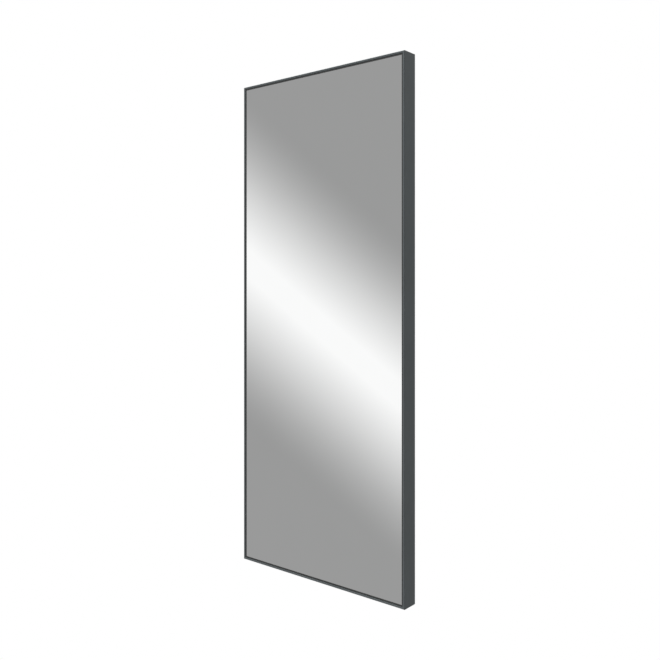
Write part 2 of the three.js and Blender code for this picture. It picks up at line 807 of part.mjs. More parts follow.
function slide() {
  const outerWeb = slideSheet / 2;
  const flangeHeight = slideHeight / 2 - slideSheet / 2;
  const outerHalf = [
    ...filleted([
      point(outerWeb, 0),
      point(outerWeb, flangeHeight),
      point(outerBall.x, flangeHeight),
    ], outerBend).slice(0, -1),
    ...arc(outerBall, raceRadius, 90, outerLipEndAngle),
  ];
  const middleHalf = [
    point(middleWeb, 0),
    point(middleWeb, innerBall.y - middleStepLow),
    point(innerBall.x - raceRadius, innerBall.y - middleStepHigh),
    ...arc(innerBall, raceRadius, 180, 90 - raceLeanAngle),
    ...arc(outerBall, raceRadius, 270 - raceLeanAngle, middleRaceEndAngle).slice(1),
  ];
  const raceStart = arc(innerBall, raceRadius, innerRaceStartAngle, innerRaceEndAngle);
  const slope = Math.tan(THREE.MathUtils.degToRad(innerRaceStartAngle - 270));
  const cornerHeight = raceStart[0].y + (innerWeb - raceStart[0].x) * slope;
  const innerHalf = [
    ...filleted([
      point(innerWeb, 0),
      point(innerWeb, cornerHeight),
      raceStart[0],
    ], innerBend).slice(0, -1),
    ...raceStart,
  ];
  const outerCageHalf = [
    point(outerCageWeb, 0),
    point(outerCageWeb, outerBall.y - cageSheet - webGap),
    point(outerCageWeb + cageSheet + webGap, outerBall.y),
    point(outerBall.x + cageLip, outerBall.y),
  ];
  const innerCageHalf = [
    point(innerCageWeb, 0),
    point(innerCageWeb, innerBall.y - middleStepLow - webGap),
    point(innerBall.x - cageSheet - webGap, innerBall.y - middleStepHigh),
    point(innerBall.x - cageSheet - webGap, innerBall.y),
    point(innerBall.x + cageLip + cageSheet, innerBall.y),
  ];
  const through = (radius, x, z) => holeAlongY(radius, x, z, slideFront - cutOverrun, 0);
  const rivetHoles = rivetPlaces.map((x) => rivet(boreGap, cutOverrun).translate(x, 0, 0));
  const accessHoles = rivetPlaces.map((x) => through(accessHoleRadius, x, 0));
  const screwHoles = carriageScrewPlaces.flatMap((place) => [-1, 1].map((side) => through(
    screwRadius + boreGap,
    pivotX - place,
    side * carriageScrewSpread,
  )));
  return [
    slideMember('outer_member', outerHalf, slideLength, rivetHoles),
    slideMember('middle_member', middleHalf, middleLength, accessHoles),
    slideMember('inner_member', innerHalf, innerLength, screwHoles),
    ballCage('outer_ball_cage', outerCageHalf, outerBall),
    ballCage('inner_ball_cage', innerCageHalf, innerBall),
  ];
}

// Blocks at the rear ends, on which the middle and inner members come to rest
function slideStops() {
  const stopDepth = slideDepth - slideSheet - 2 * seatGap;
  const stopShape = new THREE.BoxGeometry(rearStopLength, stopDepth, rearStopHeight);
  const rearStop = piece('rear_stop', stopShape, 'polymer');
  rearStop.position.set(
    slideFrontEnd - slideLength + rearStopLength / 2,
    slideBack - slideSheet - seatGap - stopDepth / 2,
    0,
  );
  const bumperBack = middleWeb + slideSheet / 2 + seatGap;
  const bumperDepth = slideDepth - lipSetback - bumperBack;
  const bumperShape = new THREE.BoxGeometry(bumperLength, bumperDepth, bumperHeight);
  const bumper = piece('middle_bumper', bumperShape, 'rubber');
  bumper.position.set(
    slideFrontEnd - middleLength + bumperLength / 2,
    slideBack - bumperBack - bumperDepth / 2,
    0,
  );
  return [rearStop, bumper];
}

// Mounting plate with countersunk screw holes along its upper and lower edges
function mountingPlate() {
  const outline = roundedOutline(
    rectangle(-slideLength / 2, -plateHeight / 2, slideLength / 2, plateHeight / 2),
    plateCorner,
  );
  const rows = [-1, 1].map((side) => side * (plateHeight / 2 - plateScrewInset));
  const columns = plateScrewShares.map((share) => share * slideLength);
  const sink = [
    point(0, -cutOverrun),
    point(plateScrewRadius, -cutOverrun),
    point(plateScrewRadius, plateThickness - (plateSinkRadius - plateScrewRadius) / 2),
    point(plateSinkRadius, plateThickness),
    point(plateSinkRadius, plateThickness + cutOverrun),
    point(0, plateThickness + cutOverrun),
  ];
  const sinks = rows.flatMap((z) => columns.map((x) => turned(sink)
    .rotateX(Math.PI / 2)
    .translate(x, 0, z)));
  const rivetHoles = rivetPlaces.map((x) => rivet(boreGap, cutOverrun)
    .translate(x - plateCentreX, 0, 0));
  const blank = toSolid(prismAlongY(outline, plateThickness).translate(0, -plateThickness, 0));
  const plate = piece('mounting_plate', toGeometry(cut(blank, [...sinks, ...rivetHoles])), 'zinc');
  plate.position.x = plateCentreX;
  return plate;
}

function rivets() {
  return rivetPlaces.map((x, i) => {
    const mesh = piece(`slide_rivet_${i + 1}`, rivet(0, 0), 'zinc');
    mesh.position.x = x;
    return mesh;
  });
}

const mirror = new THREE.Group();
mirror.position.y = frontPlane;
mirror.add(...frame(), ...glazing(), ...cornerCleats(), ...crossRails(), ...backScrews());

const pivot = new THREE.Group();
pivot.position.set(pivotX, pivotY, 0);
pivot.add(hingePlate(), carriageBracket(), ...pivotParts(), ...carriageScrews(), ...restPads());

const cabinetSide = new THREE.Group();
cabinetSide.add(mountingPlate(), ...rivets(), ...slide(), ...slideStops());

const pullOutMirror = new THREE.Group();
pullOutMirror.add(cabinetSide, pivot, mirror);

export default pullOutMirror;
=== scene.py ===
import json
import math

import bmesh
import bpy
from mathutils import Matrix, Vector


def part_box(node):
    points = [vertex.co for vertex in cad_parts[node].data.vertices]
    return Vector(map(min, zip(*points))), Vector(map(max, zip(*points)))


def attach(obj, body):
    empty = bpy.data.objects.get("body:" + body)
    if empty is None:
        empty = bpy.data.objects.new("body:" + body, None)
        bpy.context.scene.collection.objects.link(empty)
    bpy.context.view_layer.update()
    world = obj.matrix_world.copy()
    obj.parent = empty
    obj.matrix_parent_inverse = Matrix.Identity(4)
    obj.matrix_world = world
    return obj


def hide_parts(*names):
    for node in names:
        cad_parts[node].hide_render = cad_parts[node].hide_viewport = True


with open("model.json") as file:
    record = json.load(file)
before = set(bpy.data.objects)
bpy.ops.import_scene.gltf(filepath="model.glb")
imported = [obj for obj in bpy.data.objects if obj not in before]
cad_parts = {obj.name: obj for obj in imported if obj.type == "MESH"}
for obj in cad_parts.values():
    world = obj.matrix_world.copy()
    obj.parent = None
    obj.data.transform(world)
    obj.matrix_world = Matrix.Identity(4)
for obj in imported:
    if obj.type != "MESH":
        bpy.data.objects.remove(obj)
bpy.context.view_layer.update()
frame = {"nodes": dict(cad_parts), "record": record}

record = frame["record"]
BODY_OF = {node: body for body, nodes in record["behaviour"]["bodies"].items() for node in nodes}
SLOT_OF = {row["node"]: row["material_slot"] for row in record["subparts"]}
SLOT_COLOUR = {row["slot"]: row["base_color"] for row in record["materials"]}
MM = 0.001
SMOOTH_ANGLE = math.radians(32)
WHITE = (1, 1, 1)


# Camera and light. The camera looks level, and its shift takes in more below than above.

CAMERA_PLACE = Vector((0.98, -1.2018, 0.0757))
CAMERA_DIRECTION = Vector((-0.6376, 0.7704, 0.0))
CAMERA_LENS = 42.05
CAMERA_SENSOR = 36
CAMERA_SHIFT_Y = -0.0642
CAMERA_CLIP = (0.01, 100)
FLOOR_HEIGHT = -1.1
FLOOR_RADIUS = 1.2
FLOOR_CENTRE = (0.3, -0.3)
FLOOR_SEGMENTS = 96
FLOOR_FADE_SHARE = 0.4
FLOOR_GREY = (0.62, 0.62, 0.62)
FLOOR_GLOW = 0.3
DAYLIGHT = 0.5
SUN_STRENGTH = 3.75
SUN_ANGLE = math.radians(42)
SUN_FROM = Vector((-0.35, -0.62, 0.7))
# The bright band in the field that glossy rays meet: a great circle square to BAND_AXIS. Each stop
# is a share of the band's reach and the level there.
BAND_AXIS = (0.4543, -0.4707, 0.7564)
BAND_OFFSET = 0.0265
BAND_REACH = 0.156
BAND_STOPS = ((0.0, 1.06), (0.09, 1.0), (0.18, 0.926), (0.27, 0.842), (0.36, 0.758), (0.455, 0.67),
              (0.545, 0.587), (0.635, 0.513), (0.725, 0.447), (0.82, 0.392), (0.91, 0.352), (1.0, 0.335))
# The plain grey that the frame's side reflects, lighter above than below
GREY_LOW = (0.47, 0.47, 0.47)
GREY_HIGH = (0.7, 0.7, 0.7)
GREY_RISE = (-0.4, 0.3)
# Where white gives way to that grey towards the right, and the band's field to both towards the back
RIGHT_TURN = (-0.1, 0.5)
BACK_TURN = (-0.35, 0.1)


def link(tree, source, target):
    tree.links.new(source, target)


def math_node(tree, operation, first, second=None, clamp=False):
    node = tree.nodes.new("ShaderNodeMath")
    node.operation = operation
    node.use_clamp = clamp
    for socket, value in zip(node.inputs, (first, second)):
        if value is None:
            continue
        if isinstance(value, (int, float)):
            socket.default_value = value
        else:
            link(tree, value, socket)
    return node.outputs[0]


def spread(tree, value, low, high, start=0.3, end=0.7, smooth=False):
    """A value led from start..end to low..high."""
    node = tree.nodes.new("ShaderNodeMapRange")
    if smooth:
        node.interpolation_type = "SMOOTHSTEP"
    for name, number in zip(("From Min", "From Max", "To Min", "To Max"), (start, end, low, high)):
        node.inputs[name].default_value = number
    link(tree, value, node.inputs["Value"])
    return node.outputs["Result"]


def blend_colours(tree, factor, first, second):
    node = tree.nodes.new("ShaderNodeMix")
    node.data_type = "RGBA"
    link(tree, factor, node.inputs["Factor"])
    for name, colour in (("A", first), ("B", second)):
        if isinstance(colour, tuple):
            node.inputs[name].default_value = (*colour[:3], 1)
        else:
            link(tree, colour, node.inputs[name])
    return node.outputs["Result"]


def mixed_shader(tree, factor, first, second):
    node = tree.nodes.new("ShaderNodeMixShader")
    for socket, source in zip(node.inputs, (factor, first, second)):
        link(tree, source, socket)
    return node.outputs[0]


def sight(tree, path):
    """One for a camera, glossy or transmission ray, which pictures what it meets, else nought."""
    passed_on = math_node(tree, "MAXIMUM", path.outputs["Is Glossy Ray"], path.outputs["Is Transmission Ray"])
    return math_node(tree, "MAXIMUM", path.outputs["Is Camera Ray"], passed_on)


def add_camera():
    data = bpy.data.cameras.new("camera")
    data.sensor_width = CAMERA_SENSOR
    data.lens = CAMERA_LENS
    data.shift_y = CAMERA_SHIFT_Y
    data.clip_start, data.clip_end = CAMERA_CLIP
    camera = bpy.data.objects.new("camera", data)
    camera.location = CAMERA_PLACE
    camera.rotation_euler = CAMERA_DIRECTION.to_track_quat("-Z", "Y").to_euler()
    bpy.context.scene.collection.objects.link(camera)
    bpy.context.scene.camera = camera


def bright_band(tree, direction):
    """The field before the mirror: grey, crossed by one soft bright band."""
    dot = tree.nodes.new("ShaderNodeVectorMath")
    dot.operation = "DOT_PRODUCT"
    link(tree, direction, dot.inputs[0])
    dot.inputs[1].default_value = BAND_AXIS
    offset = math_node(tree, "SUBTRACT", dot.outputs["Value"], BAND_OFFSET)
    reach = math_node(tree, "DIVIDE", math_node(tree, "ABSOLUTE", offset), BAND_REACH, clamp=True)
    ramp = tree.nodes.new("ShaderNodeValToRGB")
    ramp.color_ramp.interpolation = "B_SPLINE"
    elements = ramp.color_ramp.elements
    while len(elements) < len(BAND_STOPS):
        elements.new(0.5)
    for element, (position, level) in zip(elements, BAND_STOPS):
        element.position = position
        element.color = (level, level, level, 1)
    link(tree, reach, ramp.inputs[0])
    return ramp.outputs["Color"]


def add_world():
    """White for the camera, plain daylight for diffuse rays, and a studio for glossy rays: before
    the mirror the bright band, and behind it white on the left and grey on the right."""
    world = bpy.data.worlds.new("studio")
    bpy.context.scene.world = world
    world.use_nodes = True
    tree = world.node_tree
    tree.nodes.clear()
    direction = tree.nodes.new("ShaderNodeTexCoord").outputs["Generated"]
    split = tree.nodes.new("ShaderNodeSeparateXYZ")
    link(tree, direction, split.inputs[0])
    x, y, z = split.outputs
    grey = blend_colours(tree, spread(tree, z, 0, 1, *GREY_RISE), GREY_LOW, GREY_HIGH)
    behind = blend_colours(tree, spread(tree, x, 0, 1, *RIGHT_TURN, smooth=True), WHITE, grey)
    backward = spread(tree, y, 0, 1, *BACK_TURN, smooth=True)
    studio = blend_colours(tree, backward, bright_band(tree, direction), behind)

    path = tree.nodes.new("ShaderNodeLightPath")
    pictured = tree.nodes.new("ShaderNodeBackground")
    link(tree, blend_colours(tree, path.outputs["Is Camera Ray"], studio, WHITE), pictured.inputs["Color"])
    daylight = tree.nodes.new("ShaderNodeBackground")
    daylight.inputs["Color"].default_value = (*WHITE, 1)
    daylight.inputs["Strength"].default_value = DAYLIGHT
    whole = mixed_shader(tree, sight(tree, path), daylight.outputs[0], pictured.outputs[0])
    link(tree, whole, tree.nodes.new("ShaderNodeOutputWorld").inputs["Surface"])


def add_sun():
    data = bpy.data.lights.new("key", "SUN")
    data.energy = SUN_STRENGTH
    data.angle = SUN_ANGLE
    lamp = bpy.data.objects.new("key", data)
    lamp.rotation_euler = SUN_FROM.to_track_quat("Z", "Y").to_euler()
    bpy.context.scene.collection.objects.link(lamp)


def floor_material():
    """Pale grey with a little light of its own for the rays that picture it, faded out at the rim."""
    material = bpy.data.materials.new("floor")
    material.use_nodes = True
    tree = material.node_tree
    tree.nodes.clear()
    path = tree.nodes.new("ShaderNodeLightPath")
    diffuse = tree.nodes.new("ShaderNodeBsdfDiffuse")
    diffuse.inputs["Color"].default_value = (*FLOOR_GREY, 1)
    glow = tree.nodes.new("ShaderNodeEmission")
    link(tree, math_node(tree, "MULTIPLY", sight(tree, path), FLOOR_GLOW), glow.inputs["Strength"])
    both = tree.nodes.new("ShaderNodeAddShader")
    link(tree, diffuse.outputs[0], both.inputs[0])
    link(tree, glow.outputs[0], both.inputs[1])
    radius = tree.nodes.new("ShaderNodeVectorMath")
    radius.operation = "LENGTH"
    link(tree, tree.nodes.new("ShaderNodeTexCoord").outputs["Object"], radius.inputs[0])
    fade = spread(tree, radius.outputs["Value"], 0, 1, FLOOR_FADE_SHARE * FLOOR_RADIUS, FLOOR_RADIUS,
                  smooth=True)
    clear = tree.nodes.new("ShaderNodeBsdfTransparent")
    whole = mixed_shader(tree, fade, both.outputs[0], clear.outputs[0])
    link(tree, whole, tree.nodes.new("ShaderNodeOutputMaterial").inputs["Surface"])
    return material


def add_floor():
    bm = bmesh.new()
    bmesh.ops.create_circle(bm, cap_ends=True, radius=FLOOR_RADIUS, segments=FLOOR_SEGMENTS)
    mesh = bpy.data.meshes.new("floor")
    bm.to_mesh(mesh)
    bm.free()
    mesh.materials.append(floor_material())
    floor = bpy.data.objects.new("floor", mesh)
    floor.location = (*FLOOR_CENTRE, FLOOR_HEIGHT)
    bpy.context.scene.collection.objects.link(floor)


bpy.context.scene.view_settings.view_transform = "Standard"
add_camera()
add_world()
add_sun()
add_floor()


# Materials: Principled shaders. Grain, gloss and relief come from noise in the part's own metres.

SILVER_DARK = (0.945, 0.95, 0.948)
SILVER_LIGHT = (0.955, 0.96, 0.958)
# Painted reflection: a cool cast of studio light, set as a tint on the frame coat's reflections
COAT_PAINTED_COOL_CAST = (0.75, 0.96, 0.99)
ZINC_BLUE = (0.97, 1, 1.05)
ZINC_STRAW = (1.04, 1.01, 0.93)


def noise(tree, coordinates, scale, detail, roughness=0.5, stretch=(1, 1, 1)):
    mapping = tree.nodes.new("ShaderNodeMapping")
    mapping.inputs["Scale"].default_value = stretch
    link(tree, coordinates, mapping.inputs["Vector"])
    node = tree.nodes.new("ShaderNodeTexNoise")
    node.inputs["Scale"].default_value = scale
    node.inputs["Detail"].default_value = detail
    node.inputs["Roughness"].default_value = roughness
    link(tree, mapping.outputs[0], node.inputs["Vector"])
    return node.outputs["Fac"]


def relief(tree, height, distance):
    node = tree.nodes.new("ShaderNodeBump")
    node.inputs["Distance"].default_value = distance
    link(tree, height, node.inputs["Height"])
    return node.outputs["Normal"]


def shaded(colour, factor, tint=WHITE):
    return tuple(min(1.0, channel * share * factor) for channel, share in zip(colour, tint))


def mottled(tree, factor, colour, dark, light, start=0.3, end=0.7):
    """A colour that wanders between two shades of itself."""
    share = spread(tree, factor, 0, 1, start, end)
    return blend_colours(tree, share, shaded(colour, dark), shaded(colour, light))


def start_material(name, metallic=0):
    material = bpy.data.materials.new(name)
    material.use_nodes = True
    tree = material.node_tree
    shader = tree.nodes["Principled BSDF"]
    shader.inputs["Metallic"].default_value = metallic
    coordinates = tree.nodes.new("ShaderNodeTexCoord").outputs["Object"]
    return material, tree, shader, coordinates


def feed(tree, shader, colour, roughness, normal=None):
    link(tree, colour, shader.inputs["Base Color"])
    link(tree, roughness, shader.inputs["Roughness"])
    if normal is not None:
        link(tree, normal, shader.inputs["Normal"])


def powder_coat(name, colour, roughness, reflection_tint=WHITE):
    """A satin coat with a fine orange peel. The tint colours what it reflects; on the frame it is a painted
    cool cast of studio light in its reflections.
    """
    material, tree, shader, at = start_material(name)
    shader.inputs["IOR"].default_value = 1.5
    shader.inputs["Specular Tint"].default_value = (*reflection_tint, 1)
    patches = noise(tree, at, scale=14, detail=4)
    gloss = noise(tree, at, scale=60, detail=3)
    peel = noise(tree, at, scale=900, detail=2)
    feed(tree, shader, mottled(tree, patches, colour, dark=0.94, light=1.06),
         spread(tree, gloss, low=roughness - 0.04, high=roughness + 0.04), relief(tree, peel, 0.005 * MM))
    return material


def mirror(name):
    """Silvered glass, even but for the faintest haze."""
    material, tree, shader, at = start_material(name, metallic=1)
    haze = noise(tree, at, scale=9, detail=5, roughness=0.6)
    feed(tree, shader, blend_colours(tree, spread(tree, haze, 0, 1), SILVER_DARK, SILVER_LIGHT),
         spread(tree, haze, low=0.0, high=0.012, start=0.45, end=0.75))
    return material


def rubber(name, colour, roughness, grain, gloss):
    material, tree, shader, at = start_material(name)
    shader.inputs["Specular IOR Level"].default_value = gloss
    bloom = noise(tree, at, scale=35, detail=5, roughness=0.6)
    pores = noise(tree, at, scale=grain, detail=3)
    feed(tree, shader, mottled(tree, bloom, colour, dark=0.85, light=1.3),
         spread(tree, bloom, low=roughness - 0.07, high=roughness + 0.05), relief(tree, pores, 0.03 * MM))
    return material


def hardboard(name, colour):
    """Pressed fibres: soft clouds, dark flecks, and pale strands over both."""
    material, tree, shader, at = start_material(name)
    strands = noise(tree, at, scale=450, detail=6, roughness=0.7, stretch=(1, 1, 0.35))
    clouds = noise(tree, at, scale=11, detail=4, roughness=0.6)
    flecks = noise(tree, at, scale=1400, detail=2, stretch=(0.5, 1, 1))
    base = mottled(tree, clouds, colour, dark=0.88, light=1.12, start=0.35, end=0.65)
    flecked = blend_colours(tree, spread(tree, flecks, low=0, high=0.35, start=0.55, end=0.75),
                            base, shaded(colour, 0.45))
    stranded = blend_colours(tree, spread(tree, strands, low=0, high=0.3, start=0.45, end=0.7),
                             flecked, shaded(colour, 1.7))
    feed(tree, shader, stranded, spread(tree, strands, low=0.62, high=0.82), relief(tree, strands, 0.05 * MM))
    return material


def drawn_metal(name, colour, roughness, stretch, mottle=0.06):
    """Bare or plated metal with fine lines along one axis and a cloudy gloss."""
    material, tree, shader, at = start_material(name, metallic=1)
    lines = noise(tree, at, scale=900, detail=3, roughness=0.6, stretch=stretch)
    clouds = noise(tree, at, scale=28, detail=4, roughness=0.6)
    base = mottled(tree, clouds, colour, dark=1 - mottle, light=1 + mottle)
    lined = blend_colours(tree, spread(tree, lines, low=0, high=0.25), base, shaded(colour, 0.75))
    rough = math_node(tree, "ADD", spread(tree, lines, low=-0.04, high=0.05),
                      spread(tree, clouds, low=roughness - 0.05, high=roughness + 0.05))
    feed(tree, shader, lined, rough, relief(tree, lines, 0.006 * MM))
    return material


def zinc_plate(name, colour):
    """Bright zinc: cool metal, faintly spangled, with a blue and straw passivation tint."""
    material, tree, shader, at = start_material(name, metallic=1)
    cells = tree.nodes.new("ShaderNodeTexVoronoi")
    cells.inputs["Scale"].default_value = 260
    link(tree, at, cells.inputs["Vector"])
    clouds = noise(tree, at, scale=22, detail=5, roughness=0.65)
    tint = noise(tree, at, scale=9, detail=3)
    lines = noise(tree, at, scale=1200, detail=2, stretch=(0.06, 1, 1))
    cool = blend_colours(tree, spread(tree, tint, 0, 1), shaded(colour, 1.05, ZINC_BLUE),
                         shaded(colour, 1, ZINC_STRAW))
    base = blend_colours(tree, spread(tree, clouds, low=0, high=0.35), cool, shaded(colour, 0.72))
    spangle = spread(tree, cells.outputs["Distance"], low=-0.03, high=0.03, start=0, end=0.6)
    rough = math_node(tree, "ADD", spangle, spread(tree, clouds, low=0.27, high=0.4))
    feed(tree, shader, base, rough, relief(tree, lines, 0.005 * MM))
    return material


def moulded(name, colour):
    material, tree, shader, at = start_material(name)
    shader.inputs["Subsurface Weight"].default_value = 0.15
    shader.inputs["Subsurface Radius"].default_value = (1 * MM, 1 * MM, 0.8 * MM)
    flow = noise(tree, at, scale=60, detail=4, roughness=0.6)
    gloss = noise(tree, at, scale=180, detail=3)
    grain = noise(tree, at, scale=1500, detail=2)
    feed(tree, shader, mottled(tree, flow, colour, dark=0.93, light=1.05),
         spread(tree, gloss, low=0.38, high=0.52), relief(tree, grain, 0.01 * MM))
    return material


FINISHES = {
    # The frame coat's reflections carry a painted cool cast of studio light
    "anthracite_frame": powder_coat("anthracite_frame", SLOT_COLOUR["anthracite_frame"],
                                    roughness=0.34, reflection_tint=COAT_PAINTED_COOL_CAST),
    "mirror_glass": mirror("mirror_glass"),
    "gasket_rubber": rubber("gasket_rubber", shaded(SLOT_COLOUR["gasket_rubber"], 0.95),
                            roughness=0.65, grain=1500, gloss=0.3),
    "backing_board": hardboard("backing_board", SLOT_COLOUR["backing_board"]),
    "aluminium": drawn_metal("aluminium", SLOT_COLOUR["aluminium"], roughness=0.38, stretch=(0.02, 1, 1)),
    "zinc_steel": zinc_plate("zinc_steel", SLOT_COLOUR["zinc_steel"]),
    "anthracite_bracket": powder_coat("anthracite_bracket", SLOT_COLOUR["anthracite_bracket"],
                                      roughness=0.48),
    "bright_steel": drawn_metal("bright_steel", SLOT_COLOUR["bright_steel"],
                                roughness=0.25, stretch=(1, 1, 0.15), mottle=0.04),
    "polymer": moulded("polymer", SLOT_COLOUR["polymer"]),
    "black_rubber": rubber("black_rubber", SLOT_COLOUR["black_rubber"],
                           roughness=0.72, grain=1100, gloss=0.5),
}


# Shapes. Angles are in degrees.

# Where an outline's two coordinates and its place along the axis go
AXES = {
    "X": lambda a, b, t: (t, a, b),
    "Y": lambda a, b, t: (a, t, b),
    "Z": lambda a, b, t: (a, b, t),
}
# Turns of a shape that is drawn along Z
TO_Y = Matrix.Rotation(math.radians(-90), 4, "X")
TO_MINUS_Y = Matrix.Rotation(math.radians(90), 4, "X")
UPSIDE_DOWN = Matrix.Rotation(math.pi, 4, "X")
ORIGIN = (0, 0, 0)
# How far a cutter reaches past what it cuts, in millimetres
OVERRUN = 1
# Corners round a turned shape
ROUND = 48
SMALL_ROUND = 32
TINY_ROUND = 24
# Easing: the angle from which an edge is eased, the one up to which it counts as flat, and the share
# of the width within which points are welded
EASE_ANGLE = 35
FLAT_ANGLE = 0.3
WELD_SHARE = 0.01


def arc(centre, radius, start, end, steps):
    angles = [math.radians(start + (end - start) * i / steps) for i in range(steps + 1)]
    return [Vector((centre[0] + radius * math.cos(a), centre[1] + radius * math.sin(a))) for a in angles]


def filleted(corners, radius, steps=8):
    """An open line of corners with each corner between its ends rounded to a radius."""
    corners = [Vector(corner) for corner in corners]
    path = [corners[0]]
    for before, corner, after in zip(corners, corners[1:], corners[2:]):
        back = (before - corner).normalized()
        ahead = (after - corner).normalized()
        half = math.acos(back.dot(ahead)) / 2
        centre = corner + (back + ahead).normalized() * (radius / math.sin(half))
        first = corner + back * (radius / math.tan(half)) - centre
        last = corner + ahead * (radius / math.tan(half)) - centre
        start = math.atan2(first.y, first.x)
        turn = math.remainder(math.atan2(last.y, last.x) - start, math.tau)
        path += arc(centre, radius, math.degrees(start), math.degrees(start + turn), steps)
    return path + [corners[-1]]


def rounded(corners, radius, steps):
    """A closed line of corners, each rounded to a radius."""
    return filleted([corners[-1], *corners, corners[0]], radius, steps)[1:-1]


def hexagon(radius):
    angles = [math.tau * i / 6 for i in range(6)]
    return [Vector((radius * math.cos(a), radius * math.sin(a))) for a in angles]


def sheet_outline(centreline, thickness):
    """The outline of a bent sheet: its centreline offset by half the thickness to both sides."""
    normals = []
    for here, there in zip(centreline, centreline[1:]):
        along = (there - here).normalized()
        normals.append(Vector((-along.y, along.x)))
    left, right = [], []
    for i, place in enumerate(centreline):
        before = normals[max(i - 1, 0)]
        bisector = (before + normals[min(i, len(normals) - 1)]).normalized()
        step = bisector * (thickness / 2 / bisector.dot(before))
        left.append(place + step)
        right.append(place - step)
    return left + right[::-1]


def strips(rings, closed=False):
    """Joins rings of as many points each into a skin; an open run is closed with end caps."""
    bm = bmesh.new()
    made = [[bm.verts.new(point) for point in ring] for ring in rings]
    pairs = list(zip(made, made[1:]))
    if closed:
        pairs.append((made[-1], made[0]))
    for here, there in pairs:
        for i in range(len(here)):
            j = (i + 1) % len(here)
            bm.faces.new((here[i], there[i], there[j], here[j]))
    if not closed:
        bm.faces.new(made[0])
        bm.faces.new(made[-1][::-1])
    bmesh.ops.recalc_face_normals(bm, faces=bm.faces)
    return bm


def extruded(outline, start, end, axis):
    lay = AXES[axis]
    return strips([[lay(a, b, t) for a, b in outline] for t in (start, end)])


def turned(profile, segments, closed=False):
    """A profile of (radius, height) turned round the Z axis."""
    bm = bmesh.new()
    rings = []
    for radius, height in profile:
        count = segments if radius > 0 else 1
        angles = [math.tau * i / segments for i in range(count)]
        rings.append([bm.verts.new((radius * math.cos(a), radius * math.sin(a), height)) for a in angles])
    pairs = list(zip(rings, rings[1:]))
    if closed:
        pairs.append((rings[-1], rings[0]))
    for here, there in pairs:
        for i in range(segments):
            j = (i + 1) % segments
            corners = (here[i % len(here)], there[i % len(there)], there[j % len(there)], here[j % len(here)])
            corners = list(dict.fromkeys(corners))
            if len(corners) > 2:
                bm.faces.new(corners)
    bmesh.ops.recalc_face_normals(bm, faces=bm.faces)
    return bm


def rod(radius, bottom, top, segments=ROUND):
    return turned([(0, bottom), (radius, bottom), (radius, top), (0, top)], segments)


def moved(bm, place, turn=None):
    matrix = Matrix.Translation(Vector(place))
    bm.transform(matrix @ turn if turn else matrix)
    return bm


def bore(radius, near, far, flare=0.15, segments=SMALL_ROUND):
    """A round cutter along Z from near to far, a little wider where it leaves both faces."""
    wide = radius + flare
    return turned([(0, near - OVERRUN), (wide, near - OVERRUN), (wide, near), (radius, near + flare),
                   (radius, far - flare), (wide, far), (wide, far + OVERRUN), (0, far + OVERRUN)], segments)


def joined(parts):
    whole = bmesh.new()
    for part in parts:
        mesh = bpy.data.meshes.new("part")
        part.to_mesh(mesh)
        part.free()
        whole.from_mesh(mesh)
        bpy.data.meshes.remove(mesh)
    return whole


def carved(bm, tools, operation="DIFFERENCE"):
    """The shape with the tools cut out of it, or joined to it, or what both of them share."""
    blanks = []
    for part in (bm, joined(tools)):
        mesh = bpy.data.meshes.new("blank")
        part.to_mesh(mesh)
        part.free()
        blank = bpy.data.objects.new("blank", mesh)
        bpy.context.scene.collection.objects.link(blank)
        blanks.append(blank)
    work, tool = blanks
    modifier = work.modifiers.new("cut", "BOOLEAN")
    modifier.operation = operation
    modifier.solver = "EXACT"
    modifier.object = tool
    result = bmesh.new()
    result.from_object(work, bpy.context.evaluated_depsgraph_get())
    for blank in blanks:
        mesh = blank.data
        bpy.data.objects.remove(blank)
        bpy.data.meshes.remove(mesh)
    return result


def eased(bm, width, angle=EASE_ANGLE):
    """The shape with its edges rounded off where they are sharper than the angle."""
    bmesh.ops.remove_doubles(bm, verts=bm.verts, dist=width * WELD_SHARE)
    bmesh.ops.dissolve_limit(bm, angle_limit=math.radians(FLAT_ANGLE), verts=bm.verts, edges=bm.edges)
    sharp = [e for e in bm.edges if e.is_manifold and e.calc_face_angle(0) > math.radians(angle)]
    bmesh.ops.bevel(bm, geom=sharp, offset=width, offset_type="OFFSET", segments=2,
                    profile=0.5, affect="EDGES", clamp_overlap=True)
    return bm


def finish_piece(name, bm, node):
    """Makes the piece that stands for a node, shaded smooth up to an angle, on the node's body."""
    bmesh.ops.recalc_face_normals(bm, faces=bm.faces)
    for face in bm.faces:
        face.smooth = True
    for edge in bm.edges:
        edge.smooth = edge.is_manifold and edge.calc_face_angle(0) < SMOOTH_ANGLE
    mesh = bpy.data.meshes.new(name)
    bm.to_mesh(mesh)
    bm.free()
    mesh.materials.append(FINISHES[SLOT_OF[node]])
    piece = bpy.data.objects.new(name, mesh)
    bpy.context.scene.collection.objects.link(piece)
    even = piece.modifiers.new("even_normals", "WEIGHTED_NORMAL")
    even.keep_sharp = True
    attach(piece, BODY_OF[node])
    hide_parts(node)


def set_down(name, bm, node, place=ORIGIN):
    """Finishes a piece drawn in millimetres round a place of the frame, which is in metres."""
    bm.transform(Matrix.Translation(Vector(place)) @ Matrix.Scale(MM, 4))
    finish_piece(name, bm, node)


def box_mesh(low, high, ease, segments):
    bm = bmesh.new()
    bmesh.ops.create_cube(bm, size=1)
    for vert in bm.verts:
        vert.co = Vector(low[i] + (vert.co[i] + 0.5) * (high[i] - low[i]) for i in range(3))
    bmesh.ops.bevel(bm, geom=bm.edges[:], offset=ease, segments=segments, profile=0.5, affect="EDGES")
    return bm


def box_in_mm(node):
    low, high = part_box(node)
    return low / MM, high / MM


def spans(node, axis):
    low, high = box_in_mm(node)
    return low["XYZ".index(axis)], high["XYZ".index(axis)]


def middle_of(node):
    return [(low + high) / 2 for low, high in zip(*box_in_mm(node))]


# The frame: a section of (inset from the outer face, depth behind the front)

